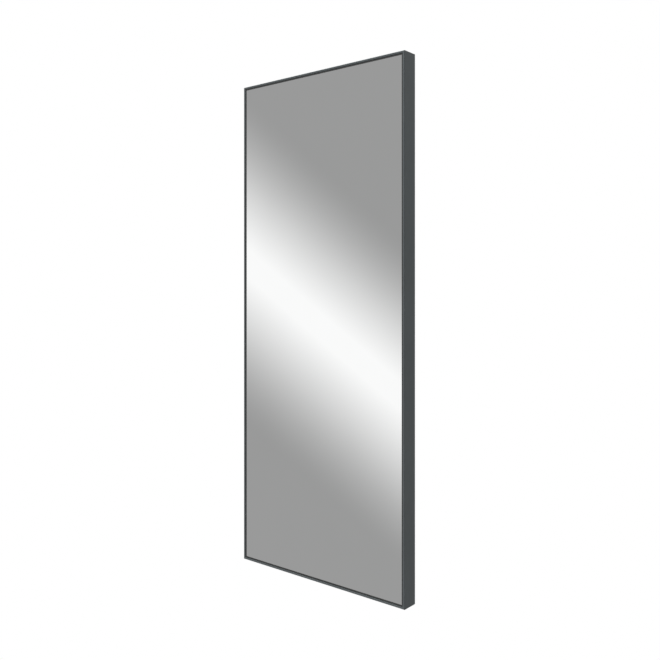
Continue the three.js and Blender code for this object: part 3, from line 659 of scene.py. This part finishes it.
WALL = 1.4 * MM
FRONT_ARRIS = 1.0 * MM
REAR_ARRIS = 1.2 * MM
LIP = 4 * MM
LIP_THICKNESS = 1 * MM
LIP_FALL = 0.4 * MM
LIP_NOSE = 0.25 * MM
LIP_EASE = 0.1 * MM
REACH = 9 * MM
RIB = 1.4 * MM
RIB_EASE = 0.15 * MM
RETURN = 1.6 * MM
RETURN_NOSE = 0.4 * MM
RETURN_EASE = 0.25 * MM
BOARD_GAP = 0.25 * MM
MITRE_GAP = 0.05 * MM
FRONT_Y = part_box("stile_left")[0].y
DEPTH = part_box("stile_left")[1].y - FRONT_Y
RIB_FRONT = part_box("backing_board")[1].y - FRONT_Y + BOARD_GAP
RIB_BACK = RIB_FRONT + RIB
HALF_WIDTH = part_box("stile_right")[1].x
HALF_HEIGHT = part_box("rail_top")[1].z


def bar_section():
    front, rear, lip, end = FRONT_ARRIS, REAR_ARRIS, LIP_NOSE, RETURN_NOSE
    return [
        *arc((front, front), front, 180, 270, 8),
        *arc((LIP - lip, LIP_FALL + lip), lip, 280, 360, 4),
        (LIP, LIP_THICKNESS - LIP_EASE),
        (LIP - LIP_EASE, LIP_THICKNESS),
        (WALL, LIP_THICKNESS),
        (WALL, RIB_FRONT),
        (REACH - RIB_EASE, RIB_FRONT),
        (REACH, RIB_FRONT + RIB_EASE),
        (REACH, RIB_BACK - RIB_EASE),
        (REACH - RIB_EASE, RIB_BACK),
        (WALL, RIB_BACK),
        (WALL, DEPTH - RETURN),
        (REACH - RETURN_EASE, DEPTH - RETURN),
        *arc((REACH - end, DEPTH - end), end, 0, 90, 4),
        *arc((rear, DEPTH - rear), rear, 90, 180, 8),
    ]


def frame_bar(node, half, place):
    """A mitred bar. place turns (inset, depth, distance along) into a point of the frame."""
    rings = [[place(x, y, side * (half - x - MITRE_GAP)) for x, y in bar_section()] for side in (-1, 1)]
    finish_piece(node + "_profile", strips(rings), node)


frame_bar("stile_left", HALF_HEIGHT, lambda x, y, z: (x - HALF_WIDTH, FRONT_Y + y, z))
frame_bar("stile_right", HALF_HEIGHT, lambda x, y, z: (HALF_WIDTH - x, FRONT_Y + y, z))
frame_bar("rail_top", HALF_WIDTH, lambda x, y, z: (z, FRONT_Y + y, HALF_HEIGHT - x))
frame_bar("rail_bottom", HALF_WIDTH, lambda x, y, z: (z, FRONT_Y + y, x - HALF_HEIGHT))


# Glass, board, and the gasket round the edge of the glass

GLASS_EASE = 1.0 * MM
BOARD_EASE = 0.3 * MM
LEAF = 0.4 * MM
GASKET_WEB = 0.5 * MM
REVEAL = 2.8 * MM
WIPER_NOSE = 0.06 * MM


def gasket_ring():
    """A channel section at four mitred corners: in front a thin lip that wipes the glass, behind a
    plain leaf, and a web round the edge."""
    low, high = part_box("glazing_gasket")
    depth = high.y - low.y
    tip = LIP + REVEAL - (HALF_WIDTH - high.x)
    wiper = WIPER_NOSE
    leaf = LEAF / 2
    section = [
        (0, 0),
        (tip - REVEAL, 0),
        *arc((tip - wiper, LEAF - wiper), wiper, 275, 450, 6),
        (GASKET_WEB, LEAF),
        (GASKET_WEB, depth - LEAF),
        *arc((tip - leaf, depth - leaf), leaf, 270, 450, 6),
        (0, depth),
    ]
    corners = ((-1, -1), (1, -1), (1, 1), (-1, 1))
    return [[(sx * (high.x - x), low.y + y, sz * (high.z - x)) for x, y in section] for sx, sz in corners]


finish_piece("glass_pane", box_mesh(*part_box("mirror_glass"), GLASS_EASE, segments=2), "mirror_glass")
finish_piece("back_panel", box_mesh(*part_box("backing_board"), BOARD_EASE, segments=2), "backing_board")
finish_piece("gasket_channel", strips(gasket_ring(), closed=True), "glazing_gasket")


# Screws. From here on shapes are drawn in millimetres.

SCREW_RADIUS = 2
SCREW_HOLE = 2.08
SCREW_NECK = 0.2
HEAD_RADIUS = 3.6
HEAD_HEIGHT = 1.8
HEAD_EASE = 0.1
HEAD_RIM = 0.55
HEAD_CROWN = 1.25
HEAD_FLAT = 1.2
HEAD_FLAT_DROP = 0.01
HEAD_CORNERS = 40
THREAD_PITCH = 0.8
THREAD_DEPTH = 0.35
RINGS_PER_PITCH = 6
# A thread's tip: the share of its radius that doesn't taper, and the share of the taper it starts at
TIP_CORE = 0.55
TIP_START = 0.35
# Half length and half width of an arm of the cross recess
RECESS_TOP = (1.75, 0.42)
RECESS_FOOT = (0.85, 0.26)
RECESS_DEPTH = 1.35
RECESS_OVERRUN = 0.3
# How far round each recess is turned
SPINS = (12, 55, 81, 34, 68, 20, 47, 5, 73, 29, 60, 41)
# Kinds of screws and the side of Y that their heads are on
SCREW_KINDS = (("rail_screw", 1), ("hinge_screw", 1), ("carriage_screw", -1))
LEVELS = ("upper", "lower")


def screw_hole(x, z, near, far, radius=SCREW_HOLE):
    return moved(bore(radius, near, far), (x, 0, z), TO_Y)


def screw_columns(kind):
    """Where the two upright rows of such screws are along X."""
    return [spans(f"{kind}_upper_{i}", "X")[0] + HEAD_RADIUS for i in (1, 2)]


def thread(radius, bottom, top, pitch=THREAD_PITCH, depth=THREAD_DEPTH, segments=TINY_ROUND):
    """A rod along Z whose skin rises and falls in one running thread, tapered at its lower end."""
    rows = math.ceil((top - bottom) / pitch * RINGS_PER_PITCH)
    rings = []
    for row in range(rows + 1):
        height = bottom + (top - bottom) * row / rows
        taper = min(1, (height - bottom) / pitch + TIP_START)
        ring = []
        for i in range(segments):
            turn = i / segments
            cut = (0.5 + 0.5 * math.cos(math.tau * (height / pitch - turn))) * depth
            r = (radius - cut) * (TIP_CORE + (1 - TIP_CORE) * taper)
            ring.append((r * math.cos(math.tau * turn), r * math.sin(math.tau * turn), height))
        rings.append(ring)
    return strips(rings)


def cross_recess(top):
    """The cutter of a cross recess that goes down from a screw head's top."""
    ends = ((RECESS_TOP, top + RECESS_OVERRUN), (RECESS_FOOT, top - RECESS_DEPTH))
    signs = ((1, 1), (-1, 1), (-1, -1), (1, -1))
    rings = [[(sx * length, sy * width, height) for sx, sy in signs] for (length, width), height in ends]
    arms = [moved(strips(rings), ORIGIN, Matrix.Rotation(math.radians(turn), 4, "Z")) for turn in (0, 90)]
    return carved(arms[0], arms[1:], "UNION")


def screw(node, outward, spin):
    """A pan-head screw in the box of its node, head towards outward along Y."""
    near, far = spans(node, "Y")
    r, h = HEAD_RADIUS, HEAD_HEIGHT
    head = turned([(0, -SCREW_NECK), (SCREW_RADIUS, -SCREW_NECK), (SCREW_RADIUS, 0), (r - HEAD_EASE, 0),
                   (r, HEAD_EASE), (r, HEAD_RIM), *arc((r - HEAD_CROWN, HEAD_RIM), HEAD_CROWN, 12, 90, 6),
                   (HEAD_FLAT, h - HEAD_FLAT_DROP), (0, h)], HEAD_CORNERS)
    shank = thread(SCREW_RADIUS, -(far - near - h), -SCREW_NECK / 2)
    body = joined([carved(head, [cross_recess(h)]), shank])
    turn = (TO_Y if outward > 0 else TO_MINUS_Y) @ Matrix.Rotation(math.radians(spin), 4, "Z")
    base = far - h if outward > 0 else near + h
    x, _, z = middle_of(node)
    set_down(node + "_pan_head", moved(body, (x, base, z), turn), node)


SCREWS = [(f"{kind}_{level}_{i}", side) for kind, side in SCREW_KINDS for level in LEVELS for i in (1, 2)]
for (node, side), spin in zip(SCREWS, SPINS):
    screw(node, side, spin)


# Mounting plate and its rivets

PLATE_CORNER = 8
PLATE_EASE = 0.3
PLATE_SCREW = 2.5
PLATE_SCREW_RIM = 0.15
PLATE_SINK = 5
PLATE_SINK_RIM = 0.2
PLATE_SINK_EASE = 0.1
PLATE_SCREW_INSET = 10
PLATE_SCREW_SHARES = (-0.43, 0, 0.43)
RIVET_SHARES = (-0.4, -0.13, 0.13, 0.4)
RIVET_HOLE = 2.08
RIVET_SINK = 3.15
RIVET_SINK_DEPTH = 0.9
RIVET_SINK_EASE = 0.1
# Both ends of a rivet as (radius, depth below the end)
RIVET_HEAD = ((0, 0.12), (0.9, 0.02), (1.2, 0), (2.7, 0.03), (2.95, 0.1), (2, 0.9))
RIVET_TAIL = ((2, 0.9), (2.9, 0.14), (2.6, 0.03), (1.6, 0), (1.3, 0.2), (1.2, 1.1), (0, 1.3))
plate_low, plate_high = box_in_mm("mounting_plate")
plate_length = plate_high.x - plate_low.x
plate_middle = (plate_low.x + plate_high.x) / 2
rivet_places = [plate_middle + share * plate_length for share in RIVET_SHARES]


def rivet_sink(x, face, through, inward):
    """A rivet's cutter: a sink that narrows from a face, and a hole that goes on through. inward is
    the way into the metal along Y, 1 or -1."""
    profile = [(0, face - inward * OVERRUN), (RIVET_SINK, face - inward * OVERRUN),
               (RIVET_SINK, face - inward * RIVET_SINK_EASE), (RIVET_HOLE, face + inward * RIVET_SINK_DEPTH),
               (RIVET_HOLE, through), (0, through)]
    return moved(turned(profile[::inward], SMALL_ROUND), (x, 0, 0), TO_Y)


def plate_sink(x, z, front):
    """The cutter of a countersunk hole that opens at the front."""
    wide = PLATE_SINK + PLATE_SINK_RIM
    mouth = PLATE_SCREW + PLATE_SCREW_RIM
    slope = (PLATE_SINK - PLATE_SCREW) / 2
    profile = [(0, front - OVERRUN), (wide, front - OVERRUN), (wide, front),
               (PLATE_SINK, front + PLATE_SINK_EASE), (PLATE_SCREW, front + slope + PLATE_SINK_EASE),
               (PLATE_SCREW, -PLATE_SINK_EASE), (mouth, 0), (mouth, OVERRUN), (0, OVERRUN)]
    return moved(turned(profile, ROUND), (x, 0, z), TO_Y)


def plate():
    left, right, top, front = plate_low.x, plate_high.x, plate_high.z, plate_low.y
    outline = rounded([(left, -top), (right, -top), (right, top), (left, top)], PLATE_CORNER, steps=12)
    blank = eased(extruded(outline, 0, front, "Y"), PLATE_EASE)
    sinks = [plate_sink(plate_middle + share * plate_length, z, front)
             for share in PLATE_SCREW_SHARES for z in (PLATE_SCREW_INSET - top, top - PLATE_SCREW_INSET)]
    sinks += [rivet_sink(x, 0, front - OVERRUN, -1) for x in rivet_places]
    set_down("plate_pressing", carved(blank, sinks), "mounting_plate")


def rivet(node):
    """Both ends are set into their sinks: a dimpled head, and a hollow tail rolled outwards."""
    near, far = spans(node, "Y")
    tail = [(radius, far - near - depth) for radius, depth in RIVET_TAIL]
    shape = turned([*RIVET_HEAD, *tail], SMALL_ROUND)
    set_down(node + "_set", moved(shape, (middle_of(node)[0], near, 0), TO_Y), node)


plate()
for i in range(1, 5):
    rivet(f"slide_rivet_{i}")


# Ball slide: half sections as (distance before the slide's back, height)

SHEET = 1.2
SLIDE_BACK = spans("outer_member", "Y")[1]
SLIDE_DEPTH = 13
SLIDE_HEIGHT = 45
SLIDE_EASE = 0.18
LIP_SETBACK = 0.6
OUTER_BEND = 2.4
INNER_BEND = 1.4
MIDDLE_SHOULDER = 3.3
MIDDLE_STEP = 1.1
BALL_RADIUS = 1.5
BALL_PLAY = 0.3
BALLS_PER_ROW = 8
BALL_MERIDIANS = 24
BALL_PARALLELS = 14
# Angles round a ball: how far its two contacts lean, where two lips end, and half of the inner race
RACE_LEAN = 37
OUTER_LIP_END = -20
MIDDLE_LIP_END = 285
INNER_RACE_HALF = 15
CAGE_SHEET = 0.6
CAGE_EASE = 0.1
CAGE_END = 6
CAGE_LIP = 1.2
POCKET_RADIUS = 1.42
POCKET_REACH = 1
POCKET_FLARE = 0.1
WEB_GAP = 0.35
ACCESS_HOLE = 5
CARRIAGE_ROW = 6
# Radius of a race's centreline round its ball
RACE = BALL_RADIUS + BALL_PLAY + SHEET / 2
OUTER_BALL = Vector((SLIDE_DEPTH - LIP_SETBACK - SHEET / 2 - RACE, SLIDE_HEIGHT / 2 - SHEET / 2 - RACE))
LEAN = Vector((math.sin(math.radians(RACE_LEAN)), math.cos(math.radians(RACE_LEAN))))
INNER_BALL = OUTER_BALL - 2 * RACE * LEAN
OUTER_CAGE_WEB = SHEET + WEB_GAP + CAGE_SHEET / 2
MIDDLE_WEB = OUTER_CAGE_WEB + CAGE_SHEET / 2 + WEB_GAP + SHEET / 2
INNER_CAGE_WEB = MIDDLE_WEB + SHEET / 2 + WEB_GAP + CAGE_SHEET / 2
INNER_WEB = SLIDE_DEPTH - SHEET / 2


def outer_half():
    top = SLIDE_HEIGHT / 2 - SHEET / 2
    bend = filleted([(SHEET / 2, 0), (SHEET / 2, top), (OUTER_BALL.x, top)], OUTER_BEND)
    return bend[:-1] + arc(OUTER_BALL, RACE, 90, OUTER_LIP_END, 12)


def middle_half():
    return [Vector((MIDDLE_WEB, 0)), Vector((MIDDLE_WEB, INNER_BALL.y - MIDDLE_SHOULDER)),
            Vector((INNER_BALL.x - RACE, INNER_BALL.y - MIDDLE_STEP)),
            *arc(INNER_BALL, RACE, 180, 90 - RACE_LEAN, 12),
            *arc(OUTER_BALL, RACE, 270 - RACE_LEAN, MIDDLE_LIP_END, 6)[1:]]


def inner_half():
    race = arc(INNER_BALL, RACE, 270 + INNER_RACE_HALF, 270 - INNER_RACE_HALF, 5)
    corner = race[0].y + (INNER_WEB - race[0].x) * math.tan(math.radians(INNER_RACE_HALF))
    return filleted([(INNER_WEB, 0), (INNER_WEB, corner), race[0]], INNER_BEND)[:-1] + race


def outer_cage_half():
    gap = CAGE_SHEET + WEB_GAP
    return [Vector((OUTER_CAGE_WEB, 0)), Vector((OUTER_CAGE_WEB, OUTER_BALL.y - gap)),
            Vector((OUTER_CAGE_WEB + gap, OUTER_BALL.y)), Vector((OUTER_BALL.x + CAGE_LIP, OUTER_BALL.y))]


def inner_cage_half():
    near = INNER_BALL.x - CAGE_SHEET - WEB_GAP
    return [Vector((INNER_CAGE_WEB, 0)), Vector((INNER_CAGE_WEB, INNER_BALL.y - MIDDLE_SHOULDER - WEB_GAP)),
            Vector((near, INNER_BALL.y - MIDDLE_STEP)), Vector((near, INNER_BALL.y)),
            Vector((INNER_BALL.x + CAGE_LIP + CAGE_SHEET, INNER_BALL.y))]


def rolled_section(half, sheet, ease, start, end):
    """A channel rolled from sheet, drawn out along X between two places."""
    line = [Vector((p.x, -p.y)) for p in half[:0:-1]] + half[1:]
    outline = [(SLIDE_BACK - p.x, p.y) for p in sheet_outline(line, sheet)]
    return eased(extruded(outline, start, end, "X"), ease)


def slide_member(node, half, cutters):
    section = rolled_section(half, SHEET, SLIDE_EASE, *spans(node, "X"))
    set_down(node + "_rolled", carved(section, cutters), node)


def cage(node, half, ball):
    start, end = spans(node, "X")
    pitch = (end - start - 2 * CAGE_END) / (BALLS_PER_ROW - 1)
    sheet = rolled_section(half, CAGE_SHEET, CAGE_EASE, start, end)
    pockets, balls = [], []
    for side in (1, -1):
        for i in range(BALLS_PER_ROW):
            place = (start + CAGE_END + i * pitch, SLIDE_BACK - ball.x, side * ball.y)
            pocket = bore(POCKET_RADIUS, -POCKET_REACH, POCKET_REACH, POCKET_FLARE, TINY_ROUND)
            pockets.append(moved(pocket, place))
            shape = bmesh.new()
            bmesh.ops.create_uvsphere(shape, u_segments=BALL_MERIDIANS, v_segments=BALL_PARALLELS,
                                      radius=BALL_RADIUS)
            balls.append(moved(shape, place))
    set_down(node + "_loaded", joined([carved(sheet, pockets), *balls]), node)


def access_hole(x):
    middle = SLIDE_BACK - MIDDLE_WEB
    return screw_hole(x, 0, middle - SHEET / 2, middle + SHEET / 2, ACCESS_HOLE)


carriage_places = screw_columns("carriage_screw")
slide_member("outer_member", outer_half(), [
    rivet_sink(x, SLIDE_BACK - SHEET, OVERRUN, 1) for x in rivet_places])
slide_member("middle_member", middle_half(), [access_hole(x) for x in rivet_places])
slide_member("inner_member", inner_half(), [
    screw_hole(x, z, SLIDE_BACK - SLIDE_DEPTH, SLIDE_BACK - SLIDE_DEPTH + SHEET)
    for x in carriage_places for z in (-CARRIAGE_ROW, CARRIAGE_ROW)])
cage("outer_ball_cage", outer_cage_half(), OUTER_BALL)
cage("inner_ball_cage", inner_cage_half(), INNER_BALL)


# Stop blocks

GROOVE_END = 2.5
GROOVE_SIDE = 1.6
GROOVE_EASE = 0.4


def stop_block(node, name, ease, groove):
    """A moulded block with eased edges and a groove along the face that takes the blow."""
    low, high = box_in_mm(node)
    _, y, z = middle_of(node)
    depth = (high.y - low.y) / 2 - GROOVE_SIDE
    reach = (high.z - low.z) / 2 - GROOVE_END
    cutter = box_mesh(Vector((high.x - groove, y - depth, z - reach)),
                      Vector((high.x + OVERRUN, y + depth, z + reach)), GROOVE_EASE, segments=2)
    set_down(name, carved(box_mesh(low, high, ease, segments=3), [cutter]), node)


stop_block("rear_stop", "rear_stop_moulding", ease=0.7, groove=1.2)
stop_block("middle_bumper", "middle_bumper_moulding", ease=0.9, groove=0.8)


# Cross rails and corner cleats

RAIL_WALL = 1.6
RAIL_HEIGHT = 24
RAIL_BEND = 2
FOLD_EASE = 0.25
CLEAT_EASE = 0.3 * MM
CLEAT_ANGLE = 30
hinge_places = screw_columns("hinge_screw")
rail_places = screw_columns("rail_screw")


def cross_rail(node):
    low, high = box_in_mm(node)
    web = high.y - RAIL_WALL / 2
    flange = (RAIL_HEIGHT - RAIL_WALL) / 2
    line = filleted([(low.y, -flange), (web, -flange), (web, flange), (low.y, flange)], RAIL_BEND, steps=10)
    rail = eased(extruded(sheet_outline(line, RAIL_WALL), low.x, high.x, "X"), FOLD_EASE)
    holes = [screw_hole(x, 0, high.y - RAIL_WALL, high.y) for x in hinge_places + rail_places]
    set_down(node + "_folded", moved(carved(rail, holes), (0, 0, (low.z + high.z) / 2)), node)


def cleat(node):
    """The node's own shape with its sharp edges eased."""
    bm = bmesh.new()
    bm.from_mesh(frame["nodes"][node].data)
    finish_piece(node + "_eased", eased(bm, CLEAT_EASE, CLEAT_ANGLE), node)


for level in LEVELS:
    cross_rail(f"cross_rail_{level}")
for corner in ("bottom_left", "top_left", "bottom_right", "top_right"):
    cleat(f"corner_cleat_{corner}")


# Carriage bracket and hinge plate, drawn round the pivot. TOP, INNER, TONGUE, LEAF and ROW are heights
# from the middle. STOP_RING and STOP_ANGLE say where the stop pin stands.

PLATE_SHEET = 2.5
HOOK = 2.5
PIN = 3.5
PLAY = 0.08
STOP_RADIUS = 1.2
STOP_RING = 7.6
STOP_ANGLE = 135
SWING = 90
NOTCH_PLAY = 0.3
BUSH_WALL = 0.9
BRACKET_TOP = 40
BRACKET_REACH = 120
BRACKET_EAR = 9.5
BRACKET_EAR_END = 110
BRACKET_ROOT = 20
BRACKET_FRONT = -7
BRACKET_FLANGE = 6
HINGE_INNER = 41.5
HINGE_EAR = 9
HINGE_ROOT = 12
HINGE_BACK = -11
HINGE_TONGUE = 38
HINGE_LEAF = 80
HINGE_NEAR = 30
HINGE_FAR = 150
HINGE_CORNER = 6
HINGE_LAP = 0.25
HINGE_ROW = 62
EAR_STEPS = 40
NOTCH_STEPS = 30
low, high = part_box("pivot_pin")
PIVOT = ((low.x + high.x) / 2, (low.y + high.y) / 2, 0)
PIVOT_X = PIVOT[0] / MM


def bent_channel(web, tip, flange, start, end):
    line = filleted([(tip, -flange), (web, -flange), (web, flange), (tip, flange)], HOOK, steps=12)
    return extruded(sheet_outline(line, PLATE_SHEET), start, end, "X")


def plate_holes(places, row, front, back):
    return [screw_hole(x - PIVOT_X, z, front, back) for x in places for z in (-row, row)]


def carriage_bracket():
    """A channel whose flanges end in the two ears that hold the pin and the stop pin."""
    top, ear, front = BRACKET_TOP, BRACKET_EAR, BRACKET_FRONT
    back, flange = front + PLATE_SHEET, front + BRACKET_FLANGE
    blank = bent_channel((front + back) / 2, ear + OVERRUN, top - PLATE_SHEET / 2, -BRACKET_REACH, ear)
    meet = math.degrees(math.asin(front / ear))
    side = [(-BRACKET_REACH, front), *arc((0, 0), ear, meet, BRACKET_EAR_END, EAR_STEPS),
            (-BRACKET_ROOT, flange), (BRACKET_FLANGE - BRACKET_REACH, flange), (-BRACKET_REACH, back)]
    ears = carved(blank, [extruded(side, -top - OVERRUN, top + OVERRUN, "Z")], "INTERSECT")
    stop = rod(STOP_RADIUS + PLAY, -top - OVERRUN, OVERRUN - top + PLATE_SHEET, TINY_ROUND)
    angle = math.radians(STOP_ANGLE)
    cutters = [rod(PIN + PLAY, -top - OVERRUN, top + OVERRUN),
               moved(stop, (STOP_RING * math.cos(angle), STOP_RING * math.sin(angle), 0)),
               *plate_holes(carriage_places, CARRIAGE_ROW, front, back)]
    set_down("carriage_bracket_folded", eased(carved(ears, cutters), FOLD_EASE), "carriage_bracket", PIVOT)


def hinge_plate():
    """A leaf on the cross rails with two ears for the bushes. A notch in the lower ear, which the
    stop pin stands in, ends the swing."""
    ear, root, back, inner = HINGE_EAR, HINGE_ROOT, HINGE_BACK, HINGE_INNER
    front, outer = back - PLATE_SHEET, inner + PLATE_SHEET
    blank = bent_channel((front + back) / 2, ear + OVERRUN, inner + PLATE_SHEET / 2, -root, ear)
    side = [(-root, front), (ear, front), *arc((0, 0), ear, 0, 180, EAR_STEPS), (-root, back)]
    ears = carved(blank, [extruded(side, -outer - OVERRUN, outer + OVERRUN, "Z")], "INTERSECT")
    lap = HINGE_LAP - root
    flat = filleted([(lap, -HINGE_TONGUE), (-HINGE_NEAR, -HINGE_TONGUE), (-HINGE_NEAR, -HINGE_LEAF),
                     (-HINGE_FAR, -HINGE_LEAF), (-HINGE_FAR, HINGE_LEAF), (-HINGE_NEAR, HINGE_LEAF),
                     (-HINGE_NEAR, HINGE_TONGUE), (lap, HINGE_TONGUE)], HINGE_CORNER, steps=10)
    whole = carved(ears, [extruded(flat, front, back, "Y")], "UNION")
    margin = STOP_RADIUS + NOTCH_PLAY
    edge = math.degrees(math.asin(margin / STOP_RING))
    start, end = STOP_ANGLE - SWING - edge, STOP_ANGLE + edge
    notch = [*arc((0, 0), STOP_RING - margin, start, end, NOTCH_STEPS),
             *arc((0, 0), ear + OVERRUN, end, start, NOTCH_STEPS)]
    cutters = [extruded(notch, -outer - OVERRUN, OVERRUN - inner, "Z"),
               rod(PIN + PLAY + BUSH_WALL + PLAY, -outer - OVERRUN, outer + OVERRUN),
               *plate_holes(hinge_places, HINGE_ROW, front, back)]
    set_down("hinge_plate_folded", eased(carved(whole, cutters), FOLD_EASE), "hinge_plate", PIVOT)


carriage_bracket()
hinge_plate()


# Pivot

PIN_THREAD = 3
PIN_THREAD_PITCH = 1.0
PIN_THREAD_DEPTH = 0.3
PIN_THREAD_CORNERS = 36
PIN_EASE = 0.2
PIN_NECK = 0.1
PIN_SHOULDER_GAP = 0.25
PIN_HEAD = 6
PIN_HEAD_HEIGHT = 3
PIN_HEAD_EASE = 0.15
PIN_HEAD_ROUND = 0.6
SOCKET_RADIUS = 2.3
SOCKET_DEPTH = 1.6
NUT_HALF_WIDTH = 5
NUT_FOOT = 4.9
NUT_FOOT_RISE = 0.55
NUT_TOP = 5.2
NUT_TOP_FALL = 0.3
NUT_PLAY = 0.1
NUT_FLARE = 0.35
NUT_CORNERS = 60
WASHER_RADIUS = 6
WASHER_EASE = 0.2
FLANGE_RADIUS = 6
FLANGE_THICKNESS = 1
FLANGE_EASE = 0.25
BUSH_EASE = 0.2
STOP_EASE = 0.4


def pivot_pin():
    """A shouldered pin: a socket in its round head, and a thread below the shoulder."""
    low, high = spans("pivot_pin", "Z")
    head = high - PIN_HEAD_HEIGHT
    shoulder = PIN_SHOULDER_GAP - head
    rim = high - PIN_HEAD_ROUND
    body = turned([(0, shoulder - PIN_NECK), (PIN_THREAD - PIN_NECK, shoulder - PIN_NECK),
                   (PIN_THREAD + PIN_EASE, shoulder), (PIN - PIN_EASE, shoulder), (PIN, shoulder + PIN_EASE),
                   (PIN, head), (PIN_HEAD - PIN_HEAD_EASE, head), (PIN_HEAD, head + PIN_HEAD_EASE),
                   (PIN_HEAD, rim), *arc((PIN_HEAD - PIN_HEAD_ROUND, rim), PIN_HEAD_ROUND, 15, 90, 4),
                   (0, high)], ROUND)
    socket = extruded(hexagon(SOCKET_RADIUS), high - SOCKET_DEPTH, high + OVERRUN, "Z")
    shank = thread(PIN_THREAD, low, shoulder, PIN_THREAD_PITCH, PIN_THREAD_DEPTH, PIN_THREAD_CORNERS)
    return joined([carved(body, [socket]), shank])


def nut():
    low, high = spans("pivot_nut", "Z")
    radius = NUT_HALF_WIDTH / math.cos(math.pi / 6)
    wide = radius + NUT_PLAY
    crown = turned([(0, low), (NUT_FOOT, low), (wide, low + NUT_FOOT_RISE), (wide, high - NUT_TOP_FALL),
                    (NUT_TOP, high), (0, high)], NUT_CORNERS)
    blank = carved(extruded(hexagon(radius), low, high, "Z"), [crown], "INTERSECT")
    return carved(blank, [bore(PIN_THREAD + PLAY, low, high, NUT_FLARE, PIN_THREAD_CORNERS)])


def bush(side):
    """A plain bearing with its flange at the inner end. The lower one is upside down."""
    low, high = sorted(abs(z) for z in spans("pivot_bush_upper", "Z"))
    inner = PIN + PLAY
    outer = inner + BUSH_WALL
    flange, back = FLANGE_RADIUS, low + FLANGE_THICKNESS
    section = [(inner, low + BUSH_EASE), (inner + BUSH_EASE, low), (flange - FLANGE_EASE, low),
               (flange, low + FLANGE_EASE), (flange, back - BUSH_EASE), (flange - BUSH_EASE, back),
               (outer, back), (outer, high - FLANGE_EASE), (outer - FLANGE_EASE, high),
               (inner + BUSH_EASE, high), (inner, high - BUSH_EASE)]
    shape = turned(section, ROUND, closed=True)
    return shape if side > 0 else moved(shape, ORIGIN, UPSIDE_DOWN)


def washer(side):
    low, high = sorted(side * abs(z) for z in spans("pivot_washer_upper", "Z"))
    inner, outer = PIN + PLAY, WASHER_RADIUS
    section = rounded([(inner, low), (outer, low), (outer, high), (inner, high)], WASHER_EASE, steps=4)
    return turned(section, ROUND, closed=True)


def stop_pin():
    low, high = spans("stop_pin", "Z")
    end = STOP_RADIUS - STOP_EASE
    shape = turned([(0, low), (end, low), (STOP_RADIUS, low + STOP_EASE), (STOP_RADIUS, high - STOP_EASE),
                    (end, high), (0, high)], SMALL_ROUND)
    x, y, _ = middle_of("stop_pin")
    return moved(shape, (x, y, 0))


set_down("pivot_pin_shouldered", pivot_pin(), "pivot_pin", PIVOT)
set_down("pivot_nut_chamfered", nut(), "pivot_nut", PIVOT)
for level, side in zip(LEVELS, (1, -1)):
    set_down(f"pivot_bush_{level}_moulded", bush(side), f"pivot_bush_{level}", PIVOT)
    set_down(f"pivot_washer_{level}_eased", washer(side), f"pivot_washer_{level}", PIVOT)
set_down("stop_pin_turned", stop_pin(), "stop_pin")


# Rest pads

PAD_RADIUS = 7
PAD_EASE = 0.1
PAD_ROUND = 1.3
# The crown of a pad as (radius, depth below its top)
PAD_CROWN = ((4.6, 0.12), (3, 0.04), (0, 0))


def rest_pad(node):
    near, far = spans(node, "Y")
    height = far - near
    rim = height - PAD_ROUND
    shape = turned([(0, 0), (PAD_RADIUS - PAD_EASE, 0), (PAD_RADIUS, PAD_EASE), (PAD_RADIUS, rim),
                    *arc((PAD_RADIUS - PAD_ROUND, rim), PAD_ROUND, 12, 78, 6),
                    *((radius, height - depth) for radius, depth in PAD_CROWN)], ROUND)
    x, _, z = middle_of(node)
    set_down(node + "_domed", moved(shape, (x, far, z), TO_MINUS_Y), node)


for level in LEVELS:
    rest_pad(f"rest_pad_{level}")
